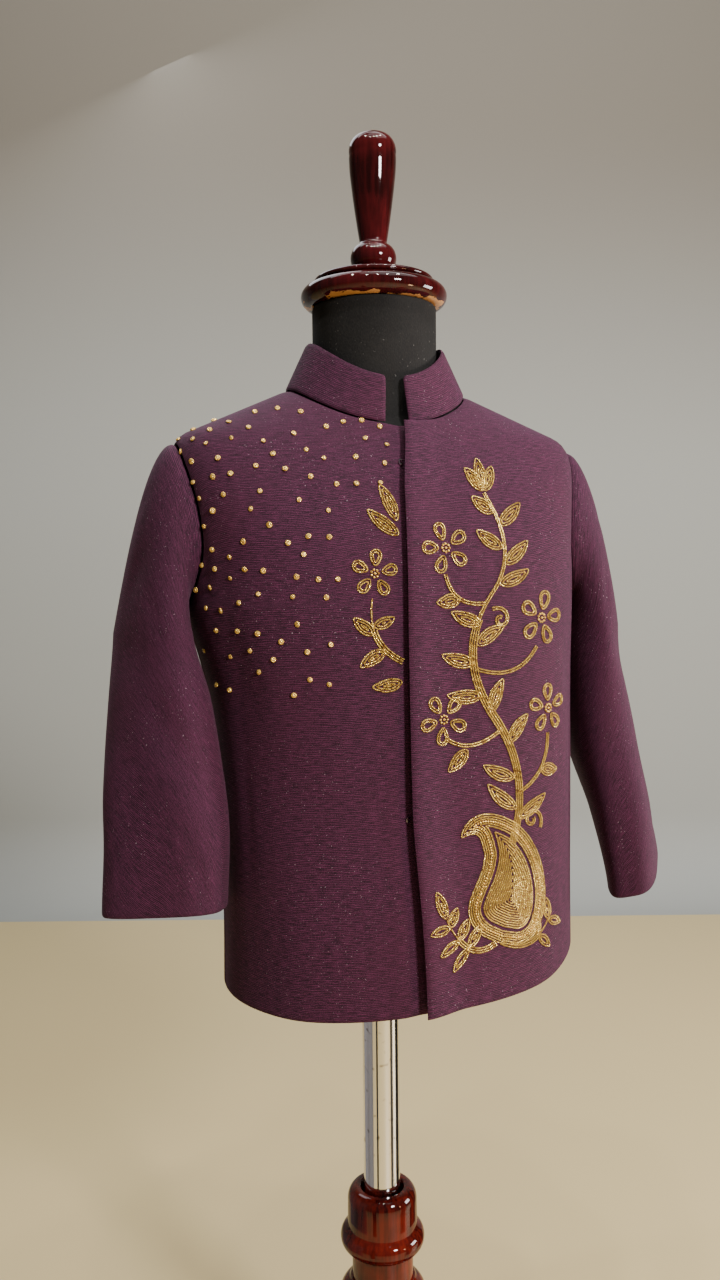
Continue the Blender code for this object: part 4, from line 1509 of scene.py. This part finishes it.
@dataclass(frozen=True)
class GoldCord:
    """Twisted gold wire, couched down; on its own cord map its tone carries painted shade in the twist and
    painted glints along it.
    """

    shade: Colour = (0.15, 0.052, 0.006, 1.0)
    bright: Colour = (1.0, 0.70, 0.17, 1.0)

    def make(self, effects: Effects, name: str, mapped: bool) -> Material:
        """Build the material, on the cord's own map or on object coordinates."""
        finish = Finish(name)
        nodes = finish.nodes
        if mapped:
            twist = finish.group(effects.cord, Along=finish.map("cord"), Twist=0.0011)
            tone, height = twist["Tone"], twist["Height"]
        else:
            tone = nodes.range_of(nodes.noise(finish.place(), 900.0, 2.0), 0.32, 0.66)
            height = tone
        rough = nodes.minus(0.40, nodes.times(tone, 0.24))
        # On the cord map, the blend from shade to bright is painted shade and painted glints over the gold's
        # own tone.
        finish.set(Base_Color=nodes.blend(tone, self.shade, self.bright), Roughness=rough, Metallic=0.60)
        finish.bump(height, 0.00028, 0.9)
        return finish.material


@dataclass(frozen=True)
class FormCover:
    """The matte black knit over the dress form."""

    dark: Colour = (0.0050, 0.0048, 0.0048, 1.0)
    light: Colour = (0.0150, 0.0142, 0.0135, 1.0)
    dust: Colour = (0.30, 0.29, 0.27, 1.0)

    def make(self, effects: Effects) -> Material:
        """Build the material."""
        finish = Finish("black form cloth")
        nodes, place = finish.nodes, finish.place()
        knit = nodes.noise(nodes.stretched(place, (1100.0, 1100.0, 700.0)), 1.0, 2.0)
        tone = nodes.plus(nodes.times(knit, 0.6), nodes.times(nodes.noise(place, 26.0, 3.0), 0.5))
        base = nodes.blend(nodes.range_of(tone, 0.35, 0.80), self.dark, self.light)
        dust = finish.group(effects.speckle, Place=place, Size=700.0, Rarity=0.79)
        base = nodes.blend(nodes.times(dust["Mask"], 0.22), base, self.dust)
        rough = nodes.plus(0.80, nodes.times(knit, 0.15))
        finish.set(Base_Color=base, Roughness=rough, Specular_IOR_Level=0.22)
        finish.bump(knit, 0.00025, 0.5)
        return finish.material


@dataclass(frozen=True)
class Lacquer:
    """Dark cherry wood under a thick gloss."""

    dark: Colour = (0.012, 0.0016, 0.0016, 1.0)
    red: Colour = (0.066, 0.0054, 0.0066, 1.0)
    bare: Colour = (0.52, 0.25, 0.085, 1.0)

    def make(self, effects: Effects, name: str, worn_z: float | None = None) -> Material:
        """Build the material.

        Args:
            effects: The shared groups.
            name: The material's name.
            worn_z: Where the lacquer has rubbed off, as the height of that edge, or None.

        Returns:
            The material.
        """
        finish = Finish(name)
        nodes, place = finish.nodes, finish.place()
        grain = finish.group(effects.grain, Place=place, Fineness=1.0)
        cloud = nodes.times(nodes.range_of(grain["Cloud"], 0.35, 0.70), 0.55)
        base = nodes.blend(nodes.plus(nodes.times(grain["Tone"], 0.36), cloud), self.dark, self.red)
        rough = nodes.plus(0.20, nodes.times(grain["Cloud"], 0.16))
        if worn_z is not None:
            ragged = nodes.noise(nodes.stretched(place, (60.0, 60.0, 210.0)), 1.0, 4.0)
            reach = nodes.times(nodes.minus(ragged, 0.53), 0.034)
            edge = nodes.minus(nodes.plus(reach, worn_z), nodes.parts(place)[2])
            worn = nodes.range_of(edge, 0.0, 0.0006)
            base = nodes.blend(worn, base, self.bare)
            rough = nodes.plus(rough, nodes.times(worn, 0.15))
        finish.set(Base_Color=base, Roughness=rough, Specular_IOR_Level=0.0)
        finish.set(Coat_Weight=0.75, Coat_Roughness=0.035, Coat_IOR=1.5)
        finish.bump(grain["Cloud"], 0.0004, 0.25)
        return finish.material


@dataclass(frozen=True)
class PolishedSteel:
    """Chromed tube with faint smears and specks."""

    clean: Colour = (0.80, 0.80, 0.79, 1.0)
    spot: Colour = (0.20, 0.17, 0.14, 1.0)

    def make(self, effects: Effects) -> Material:
        """Build the material."""
        finish = Finish("chrome tube")
        nodes, place = finish.nodes, finish.place()
        smear = nodes.noise(nodes.stretched(place, (120.0, 120.0, 14.0)), 1.0, 3.0)
        spots = finish.group(effects.speckle, Place=place, Size=260.0, Rarity=0.70)
        base = nodes.blend(nodes.times(spots["Mask"], 0.7), self.clean, self.spot)
        finish.set(Base_Color=base, Roughness=nodes.plus(0.05, nodes.times(smear, 0.10)), Metallic=1.0)
        return finish.material


class Handwork:
    """The gold work laid on the fronts: couched cords, bead rows and scattered knots."""

    def __init__(self, grounds: Sequence[Piece]) -> None:
        """Keep the faces of the cloth that the work lies on."""
        self.grounds = {}
        for ground in grounds:
            shape = bmesh.new()
            shape.from_mesh(ground.data)
            self.grounds[ground.name] = BVHTree.FromBMesh(shape)
            shape.free()

    def on_cloth(self, ground: str, x: float, z: float) -> tuple[Vector, Vector] | None:
        """Return the place and the outward direction of the cloth in front of (x, z)."""
        start, ahead = Vector((x, -0.4, z)), Vector((0.0, 1.0, 0.0))
        point, normal, _, _ = self.grounds[ground].ray_cast(start, ahead)
        if point is None or normal.y > -0.2:
            return None
        return point, normal

    def lay(self, name: str, ground: str, paths: Sequence[Path], lift: float) -> Piece:
        """Make bare edges that follow paths over the cloth.

        Args:
            name: The new object's name.
            ground: Which piece of cloth to lie on.
            paths: Flat paths in x and z.
            lift: How far the edges stand off the cloth.

        Returns:
            An object with edges only.
        """
        shape = bmesh.new()
        for path in paths:
            last = None
            for x, z in path:
                found = self.on_cloth(ground, x, z)
                if found is None:
                    last = None
                    continue
                vert = shape.verts.new(found[0] + found[1] * lift)
                if last is not None:
                    shape.edges.new((last, vert))
                last = vert
        return place_mesh(name, plain_mesh(name, shape))

    def run_tree(self, piece: Piece, tree: Tree, name: str, values: dict[str, object]) -> Piece:
        """Run a Geometry Nodes tree on a piece and keep the result as a plain mesh.

        Args:
            piece: The object that carries the modifier, which is removed once it has run.
            tree: The tree to run.
            name: The result's name.
            values: Each named input's value.

        Returns:
            The new object.
        """
        modifier = piece.modifiers.new("work", "NODES")
        modifier.node_group = tree
        for item in tree.interface.items_tree:
            if item.in_out == "INPUT" and item.name in values:
                modifier[item.identifier] = values[item.name]
        evaluated = piece.evaluated_get(bpy.context.evaluated_depsgraph_get())
        mesh = bpy.data.meshes.new_from_object(evaluated)
        mesh.name = name
        piece.modifiers.remove(modifier)
        bpy.data.objects.remove(piece)
        return place_mesh(name, mesh)


class GeometryTrees:
    """The Geometry Nodes trees of the handwork."""

    def start(self, name: str, inputs: dict[str, float | int]) -> NodeTree:
        """Start a tree with a geometry input, named inputs and a material input."""
        tree = bpy.data.node_groups.new(name, "GeometryNodeTree")
        face = tree.interface
        face.new_socket("Geometry", in_out="INPUT", socket_type="NodeSocketGeometry")
        for label, value in inputs.items():
            kind = "NodeSocketInt" if isinstance(value, int) else "NodeSocketFloat"
            face.new_socket(label, in_out="INPUT", socket_type=kind).default_value = value
        face.new_socket("Material", in_out="INPUT", socket_type="NodeSocketMaterial")
        face.new_socket("Geometry", in_out="OUTPUT", socket_type="NodeSocketGeometry")
        tree.nodes.new("NodeGroupInput")
        tree.nodes.new("NodeGroupOutput")
        return NodeTree(tree)

    def close(self, nodes: NodeTree, shape: Socket) -> Tree:
        """End a tree with Realize Instances, smooth shading and Set Material."""
        real = nodes.add("GeometryNodeRealizeInstances", {"Geometry": shape})
        smooth = nodes.add("GeometryNodeSetShadeSmooth", {"Geometry": real.outputs["Geometry"]})
        feeds = {"Geometry": smooth.outputs["Geometry"], "Material": nodes.given("Material")}
        return nodes.give(Geometry=nodes.add("GeometryNodeSetMaterial", feeds).outputs["Geometry"])

    def noted(self, nodes: NodeTree, curve: Socket, label: str, value: str) -> bpy.types.Node:
        """Note a spline parameter on a curve's points, so that the swept surface can read it."""
        note = nodes.add("GeometryNodeCaptureAttribute", domain="POINT")
        note.capture_items.new("FLOAT", label)
        nodes.put(note.inputs["Geometry"], curve)
        nodes.put(note.inputs[1], nodes.add("GeometryNodeSplineParameter").outputs[value])
        return note

    def swept(self, nodes: NodeTree, curve: Socket, profile: Socket, caps: bool) -> Socket:
        """Sweep a profile along a curve."""
        feeds = {"Curve": curve, "Profile Curve": profile, "Fill Caps": caps}
        return nodes.add("GeometryNodeCurveToMesh", feeds).outputs["Mesh"]

    def circle(self, nodes: NodeTree, radius: Value, sides: Value) -> Socket:
        """Add a circle of a few sides."""
        feeds = {"Radius": radius, "Resolution": sides}
        return nodes.add("GeometryNodeCurvePrimitiveCircle", feeds).outputs["Curve"]

    def ball(self, nodes: NodeTree, radius: Socket) -> Socket:
        """Add a small round ball."""
        feeds = {"Subdivisions": 2, "Radius": radius}
        return nodes.add("GeometryNodeMeshIcoSphere", feeds).outputs["Mesh"]

    def line(self, nodes: NodeTree) -> Socket:
        """Turn the tree's edges into curves."""
        return nodes.add("GeometryNodeMeshToCurve", {"Mesh": nodes.given("Geometry")}).outputs["Curve"]

    def cords(self) -> Tree:
        """Build the tree that sweeps a round cord along edges, with a map of its length and turn."""
        nodes = self.start("Couched cord", {"Radius": 0.0005, "Sides": 6})
        ring = self.circle(nodes, nodes.given("Radius"), nodes.given("Sides"))
        along = self.noted(nodes, self.line(nodes), "Length", "Length").outputs
        around = self.noted(nodes, ring, "Turn", "Factor").outputs
        cord = self.swept(nodes, along["Geometry"], around["Geometry"], True)
        both = nodes.add("ShaderNodeCombineXYZ", {0: along[1], 1: around[1]}).outputs[0]
        feeds = {"Name": "cord", "Geometry": cord, "Value": both}
        store = nodes.add("GeometryNodeStoreNamedAttribute", feeds, data_type="FLOAT2", domain="CORNER")
        return self.close(nodes, store.outputs["Geometry"])

    def beads(self) -> Tree:
        """Build the tree that sets round beads at an even spacing along edges."""
        nodes = self.start("Bead row", {"Spacing": 0.0017, "Bead radius": 0.00075})
        feeds = {"Curve": self.line(nodes), "Length": nodes.given("Spacing")}
        again = nodes.add("GeometryNodeResampleCurve", feeds, mode="LENGTH").outputs["Curve"]
        feeds = {"Points": again, "Instance": self.ball(nodes, nodes.given("Bead radius"))}
        return self.close(nodes, nodes.add("GeometryNodeInstanceOnPoints", feeds).outputs["Instances"])

    def knots(self) -> Tree:
        """Build the tree that scatters small wound knots over a field of cloth, thinner lower down."""
        inputs = {"Spacing": 0.0112, "Density": 15000.0, "Low": 0.575, "High": 0.640}
        nodes = self.start("Scattered knots", inputs | {"Radius": 0.00108, "Seed": 4})
        radius, seed = nodes.given("Radius"), nodes.given("Seed")
        height = nodes.parts(nodes.add("GeometryNodeInputPosition").outputs[0])[2]
        feeds = {"From Min": nodes.given("Low"), "From Max": nodes.given("High"), "To Min": 0.45}
        fade = nodes.add("ShaderNodeMapRange", {"Value": height} | feeds).outputs["Result"]
        feeds = {
            "Mesh": nodes.given("Geometry"),
            "Distance Min": nodes.given("Spacing"),
            "Density Max": nodes.given("Density"),
            "Density Factor": fade,
            "Seed": seed,
        }
        kind = "GeometryNodeDistributePointsOnFaces"
        scatter = nodes.add(kind, feeds, distribute_method="POISSON").outputs
        strand = self.circle(nodes, nodes.times(radius, 0.66), 6)
        coil = self.swept(nodes, self.circle(nodes, radius, 10), strand, False)
        knot = nodes.add("GeometryNodeJoinGeometry", {0: coil})
        nodes.put(knot.inputs[0], self.ball(nodes, nodes.times(radius, 0.92)))
        feeds = {0: (-0.5, -0.5, 0.0), 1: (0.5, 0.5, 6.28), "Seed": seed}
        tilt = nodes.add("FunctionNodeRandomValue", feeds, data_type="FLOAT_VECTOR").outputs[0]
        tilt = nodes.add("FunctionNodeEulerToRotation", {0: tilt}).outputs[0]
        feeds = {0: scatter["Rotation"], 1: tilt}
        turned = nodes.add("FunctionNodeRotateRotation", feeds, rotation_space="LOCAL").outputs[0]
        feeds = {2: 0.82, 3: 1.12, "Seed": seed}
        size = nodes.add("FunctionNodeRandomValue", feeds, data_type="FLOAT").outputs[1]
        feeds = {"Points": scatter["Points"], "Instance": knot.outputs[0]}
        feeds |= {"Rotation": turned, "Scale": size}
        return self.close(nodes, nodes.add("GeometryNodeInstanceOnPoints", feeds).outputs["Instances"])


@dataclass
class KnotField:
    """The field of cloth that the knots are scattered over, as a loose copy of its front faces."""

    x_low: float = -0.132
    x_high: float = -0.009
    z_low: float = 0.572
    z_high: float = 0.752
    sprig_x: float = -0.044
    sprig_low: float = 0.575
    sprig_high: float = 0.702
    lift: float = 0.0005

    def holds(self, centre: Vector, normal: Vector) -> bool:
        """Return whether a face of the cloth belongs to the field."""
        if normal.y > -0.1 and normal.z < 0.35:
            return False
        inside = self.x_low < centre.x < self.x_high and self.z_low < centre.z < self.z_high
        by_sprigs = centre.x > self.sprig_x and self.sprig_low < centre.z < self.sprig_high
        return inside and not by_sprigs

    def cut(self, cloth: Piece) -> Piece:
        """Copy the field's faces off the cloth."""
        shape = bmesh.new()
        shape.from_mesh(cloth.data)
        shape.normal_update()
        outside = [f for f in shape.faces if not self.holds(f.calc_center_median(), f.normal)]
        bmesh.ops.delete(shape, geom=outside, context="FACES")
        for vert in shape.verts:
            vert.co += vert.normal * self.lift
        return place_mesh("knot_field", plain_mesh("knot_field", shape))


@dataclass
class LapHooks:
    """The small bent-wire hooks under the lap, whose bends just show."""

    cut: BodyCut
    lap: Lap
    heights: Pair = (0.7165, 0.4985)
    under: float = 0.0016
    lift: float = 0.0009
    wire: float = 0.00045
    bow: float = 0.0017
    narrow: float = 0.62
    steps: int = 24
    sides: int = 6

    def make(self, work: Handwork, ground: str) -> Piece:
        """Build both hooks as closed wire loops on the under front."""
        shape = bmesh.new()
        for z in self.heights:
            edge = smooth_row(self.lap.edge_rows, z).edge_x
            found = work.on_cloth(ground, edge - self.under, z)
            if found is None:
                continue
            centre, normal = found[0] + found[1] * self.lift, found[1]
            side = Vector((0.0, 0.0, 1.0)).cross(normal).normalized()
            up = normal.cross(side).normalized()
            rings = []
            for i in range(self.steps):
                way = math.tau * i / self.steps
                out = side * math.cos(way) * self.bow * self.narrow + up * math.sin(way) * self.bow
                ring = []
                for k in range(self.sides):
                    turn = math.tau * k / self.sides
                    offset = out.normalized() * math.cos(turn) + normal * math.sin(turn)
                    ring.append(centre + out + offset * self.wire)
                rings.append([shape.verts.new(point) for point in ring])
            skin(shape, [*rings, rings[0]])
        bmesh.ops.recalc_face_normals(shape, faces=shape.faces)
        return link_mesh("lap_hooks", shape)


@dataclass
class Studio:
    """The floor, the backdrop, the soft lights and the camera."""

    way: Pair = (0.2588, 0.9659)
    back_off: float = 0.710
    side_step: float = -0.0115
    height: float = 0.650
    pitch: float = 3.7
    roll: float = 0.6
    focal: float = 29.59
    wall_distance: float = 2.10
    wall_height: float = 4.0
    wall_curve: float = 0.16
    half_width: float = 6.0
    card_distance: float = 0.33
    card_top: float = 0.42
    middle_z: float = 0.60
    lamp_z: float = 2.20
    floor_colour: Colour = (0.60, 0.475, 0.245, 1.0)
    wall_colour: Colour = (0.335, 0.345, 0.330, 1.0)
    # Painted shade on the upper wall.
    painted_shade_high_wall: Colour = (0.185, 0.168, 0.140, 1.0)
    room_colour: Colour = (0.62, 0.62, 0.62, 1.0)
    room_strength: float = 0.14

    @property
    def ahead(self) -> Vector:
        """Return the camera's level direction."""
        return Vector((self.way[0], self.way[1], 0.0))

    @property
    def right(self) -> Vector:
        """Return the level direction to the camera's right."""
        return Vector((self.way[1], -self.way[0], 0.0))

    def spot(self) -> Vector:
        """Return where the camera stands."""
        level = self.ahead * -self.back_off + self.right * self.side_step
        return level + Vector((0.0, 0.0, self.height))

    def camera(self) -> None:
        """Set the camera where the photograph was taken from."""
        pitch, roll = math.radians(self.pitch), math.radians(self.roll)
        ahead = self.ahead * math.cos(pitch) + Vector((0.0, 0.0, -math.sin(pitch)))
        up = self.right.cross(ahead)
        across = self.right * math.cos(roll) - up * math.sin(roll)
        up = up * math.cos(roll) + self.right * math.sin(roll)
        turn = Matrix((across, up, -ahead)).transposed().to_4x4()
        data = bpy.data.cameras.new("camera")
        data.sensor_fit = "AUTO"
        data.sensor_width = 36.0
        data.lens = self.focal
        data.clip_start, data.clip_end = 0.02, 30.0
        camera = bpy.data.objects.new("camera", data)
        camera.matrix_world = Matrix.Translation(self.spot()) @ turn
        bpy.context.scene.collection.objects.link(camera)
        bpy.context.scene.camera = camera

    def plain(self, name: str, colour: Colour, rough: float, high: Colour | None = None) -> Finish:
        """Start a plain studio surface with a faint unevenness, and another colour high up if asked, which on
        the wall is painted shade that darkens it towards the top.
        """
        finish = Finish(name)
        nodes, place = finish.nodes, finish.place()
        darker = tuple(c * 0.94 for c in colour[:3]) + (1.0,)
        base = nodes.blend(nodes.noise(place, 1.4, 3.0), darker, colour)
        if high is not None:
            # Painted shade: the colour turns to the darker high colour up the wall, where less light falls.
            base = nodes.blend(nodes.range_of(nodes.parts(place)[2], 0.75, 1.55), base, high)
        finish.set(Base_Color=base, Roughness=rough, Specular_IOR_Level=0.35)
        return finish

    def one_sided(self, name: str, colour: Colour, rough: float) -> Finish:
        """Start a plain surface that can't be seen from behind, so that the jacket's back can."""
        finish = self.plain(name, colour, rough, self.painted_shade_high_wall)
        facing = finish.nodes.add("ShaderNodeNewGeometry").outputs["Backfacing"]
        finish.set(Alpha=finish.nodes.minus(1.0, facing))
        return finish

    def backdrop(self) -> None:
        """Build the floor and the backdrop, which belong to the stage."""
        far = Vector((self.spot().x, self.spot().y, 0.0)) + self.ahead * self.wall_distance
        half, rise = self.half_width, self.wall_curve
        wall_rows = []
        for i in range(13):
            turn = math.pi / 2 * i / 12
            wall_rows.append((-rise * (1.0 - math.sin(turn)), 0.0005 + rise * (1.0 - math.cos(turn))))
        wall_rows += [(0.0, 1.2), (0.0, self.wall_height)]
        floor = self.plain("pale floor", self.floor_colour, 0.42)
        wall = self.one_sided("pale wall", self.wall_colour, 0.85)
        for name, rows, finish in (
            ("floor", [(-half, 0.0), (half, 0.0)], floor),
            ("backdrop", wall_rows, wall),
        ):
            shape = bmesh.new()
            made = []
            for along, z in rows:
                foot = far + self.ahead * along + Vector((0.0, 0.0, z))
                made.append([shape.verts.new(foot + self.right * x) for x in (-half, half)])
            for low, high in zip(made, made[1:]):
                shape.faces.new((low[0], low[1], high[1], high[0]))
            self.stage(name, shape, finish)
        self.cards()

    def stage(self, name: str, shape: Shape, finish: Finish, mirrored_only: bool = False) -> None:
        """Put a piece of the surroundings in the scene, seen in reflections alone if asked."""
        piece = link_mesh(name, shape)
        piece.data.materials.append(finish.material)
        if mirrored_only:
            piece.visible_camera = False
            piece.visible_shadow = False
            piece.visible_diffuse = False

    def cards(self) -> None:
        """Stand dark cards out of the view, so that the chrome and the lacquer have something to show.

        Each stands on an arc about the pole, between two turns counted from the camera's direction.
        """
        for name, start, end, shade in (
            ("card_line", -31.0, -20.0, 0.012),
            ("card_left", -128.0, -52.0, 0.16),
            ("card_right", 98.0, 132.0, 0.020),
            ("card_near", 58.0, 76.0, 0.12),
        ):
            shape = bmesh.new()
            last = None
            for i in range(13):
                turn = math.radians(mix(start, end, i / 12))
                foot = (self.right * math.sin(turn) - self.ahead * math.cos(turn)) * self.card_distance
                pair = (shape.verts.new(foot), shape.verts.new(foot + Vector((0.0, 0.0, self.card_top))))
                if last is not None:
                    shape.faces.new((last[0], pair[0], pair[1], last[1]))
                last = pair
            finish = self.plain(name, (shade, shade, shade * 1.12, 1.0), 0.8)
            self.stage(name, shape, finish, mirrored_only=True)

    def lamp(
        self, name: str, place: Triple, size: Pair, power: float, colour: Triple, aim: Vector
    ) -> None:
        """Hang a soft oblong light.

        Args:
            name: The light's name.
            place: Where it hangs.
            size: Its width and height.
            power: Its strength in watts.
            colour: Its colour.
            aim: The direction that it faces.
        """
        data = bpy.data.lights.new(name, "AREA")
        data.shape = "SQUARE" if size[0] == size[1] else "RECTANGLE"
        data.size, data.size_y = size
        data.energy, data.color = power, colour
        lamp = bpy.data.objects.new(name, data)
        lamp.location = place
        lamp.rotation_mode = "QUATERNION"
        lamp.rotation_quaternion = aim.to_track_quat("-Z", "Y")
        bpy.context.scene.collection.objects.link(lamp)

    def light(self, name: str, place: Triple, size: float, power: float, colour: Triple) -> None:
        """Hang a square light that faces the middle of the jacket."""
        aim = Vector((0.0, 0.0, self.middle_z)) - Vector(place)
        self.lamp(name, place, (size, size), power, colour, aim)

    def lights(self) -> None:
        """Light the room: a soft ceiling, a wash on the wall, small lamps for glints, a pale fill."""
        self.light("ceiling", (0.30, -0.30, 2.30), 1.2, 9.5, (1.0, 0.985, 0.97))
        aim = Vector((self.way[0], self.way[1], -0.80))
        self.lamp("wall_wash", (0.10, 0.35, 2.60), (2.6, 0.5), 19.0, (0.98, 1.0, 1.0), aim)
        self.light("key", (0.62, -1.62, 1.28), 0.30, 42.0, (1.0, 0.96, 0.95))
        self.light("side", (1.55, -0.40, 0.62), 0.5, 26.0, (1.0, 0.96, 0.94))
        self.light("behind", (-0.30, 1.00, 1.90), 0.9, 10.0, (0.90, 0.94, 1.0))
        self.light("warm", (0.62, -0.62, 0.40), 0.12, 1.6, (1.0, 0.58, 0.30))
        lamps = ((-0.42, -0.70), (-0.10, -0.78), (0.22, -0.62), (-0.62, -0.20), (0.50, -0.30))
        for i, (x, y) in enumerate(lamps):
            self.light(f"lamp_{i}", (x, y, self.lamp_z), 0.06, 5.0, (1.0, 0.95, 0.86))
        world = bpy.data.worlds.new("room")
        world.use_nodes = True
        shade = world.node_tree.nodes["Background"]
        shade.inputs["Color"].default_value = self.room_colour
        shade.inputs["Strength"].default_value = self.room_strength
        bpy.context.scene.world = world


class Jacket:
    """The whole model: cloth, gold work, form and stand, each piece dressed and set on the stand's body."""

    def __init__(self) -> None:
        """Settle the cuts and the finishes."""
        self.cut, self.lap = BodyCut(), Lap()
        self.roll = EdgeRoll()
        self.effects = Effects()
        self.suiting = Suiting().make(self.effects)
        self.cord_gold = GoldCord().make(self.effects, "gold cord", True)
        self.knot_gold = GoldCord(shade=(0.62, 0.34, 0.075, 1.0)).make(self.effects, "gold knots", False)
        self.steel = PolishedSteel().make(self.effects)
        self.lacquer = Lacquer().make(self.effects, "cherry lacquer")
        # A lighter, redder copy of the lacquer for the hub and the column: painted warm light, standing in
        # for the warm light that falls on them.
        warm = Lacquer(red=(0.150, 0.0120, 0.0060, 1.0))
        self.painted_warm_light_lacquer = warm.make(self.effects, "cherry lacquer with painted warm light")
        self.worn_lacquer = Lacquer().make(self.effects, "rubbed cherry lacquer", 0.8246)
        self.form_cloth = FormCover().make(self.effects)

    def settle(self, piece: Piece, finish: Material | None, node: str | None) -> None:
        """Dress a piece, let it ride on the stand's body and hide the construction solid that it stands for.

        Args:
            piece: The piece.
            finish: Its material, or None where it has one.
            node: The construction solid it replaces, or None.
        """
        if finish is not None:
            piece.data.materials.clear()
            piece.data.materials.append(finish)
        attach(piece, "root")
        if node is not None:
            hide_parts(node)
        LOG.info("%s: %d faces", piece.name, len(piece.data.polygons))

    def stand(self) -> Piece:
        """Build the form and the stand, and return the form."""
        form = DressForm(self.cut).make()
        self.settle(form, self.form_cloth, "form_body")
        wood = TurnedStand()
        self.settle(wood.neck_cap(), self.worn_lacquer, "neck_cap")
        self.settle(wood.finial(), self.lacquer, "finial")
        self.settle(wood.pole(), self.steel, "pole")
        # The hub and the column wear the lacquer with painted warm light.
        self.settle(wood.hub(), self.painted_warm_light_lacquer, "base_hub")
        self.settle(wood.column(), self.painted_warm_light_lacquer, "base_column")
        self.settle(wood.foot(), self.lacquer, "base_foot")
        return form

    def cloth(self, form: Piece) -> tuple[Piece, Piece]:
        """Build every cut piece of the jacket, and return the two fronts."""
        panels = BodyPanels(self.cut, self.lap, self.roll)
        left, right, back = panels.front(Side.LEFT), panels.front(Side.RIGHT), panels.back()
        collar = StandCollar(self.cut, self.roll).make()
        sleeves = []
        for side, rings, folds, cuff in (
            (Side.LEFT, LEFT_SLEEVE_RINGS, LEFT_SLEEVE_FOLDS, CuffTip(0.30, 0.0)),
            (Side.RIGHT, RIGHT_SLEEVE_RINGS, RIGHT_SLEEVE_FOLDS, CuffTip(0.0, 0.15)),
        ):
            sleeves.append(Sleeve(self.cut, self.roll, side, rings, folds, cuff).make())
        for piece, node, flat in (
            (left, "front_left", (0.180, 0.400)),
            (right, "front_right", (0.190, 0.400)),
            (back, "back", (0.300, 0.405)),
            (collar, "collar", (0.330, 0.034)),
            (sleeves[0], "sleeve_left", (0.200, 0.290)),
            (sleeves[1], "sleeve_right", (0.200, 0.290)),
        ):
            self.settle(piece, self.suiting, node)
        return left, right

    def gold(self, left: Piece, right: Piece) -> None:
        """Lay the gold work on the fronts."""
        work, trees = Handwork((left, right)), GeometryTrees()
        cord_tree, bead_tree, knot_tree = trees.cords(), trees.beads(), trees.knots()
        for ground, label in ((left, "left"), (right, "right")):
            design = VineDesign()
            if ground is left:
                design.draw_left()
            else:
                design.draw_right()
            lines = work.lay(f"cord_lines_{label}", ground.name, design.cords, 0.00030)
            values = {"Radius": 0.00052, "Sides": 6, "Material": self.cord_gold}
            cords = work.run_tree(lines, cord_tree, f"gold_vine_{label}", values)
            dots = work.lay(f"bead_lines_{label}", ground.name, design.beads, 0.00050)
            values = {"Spacing": 0.0018, "Bead radius": 0.00078, "Material": self.knot_gold}
            beads = work.run_tree(dots, bead_tree, f"gold_beads_{label}", values)
            self.settle(cords, None, None)
            self.settle(beads, None, None)
        values = {"Material": self.knot_gold}
        knots = work.run_tree(KnotField().cut(right), knot_tree, "gold_knots", values)
        self.settle(knots, None, None)
        hooks = LapHooks(self.cut, self.lap).make(work, right.name)
        self.settle(hooks, self.steel, None)


def main() -> None:
    """Build the model, its stage and its light."""
    logging.basicConfig(level=logging.INFO, format="%(message)s")
    studio = Studio()
    studio.camera()
    jacket = Jacket()
    form = jacket.stand()
    left, right = jacket.cloth(form)
    jacket.gold(left, right)
    studio.backdrop()
    studio.lights()
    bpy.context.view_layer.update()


if __name__ == "__main__":
    main()
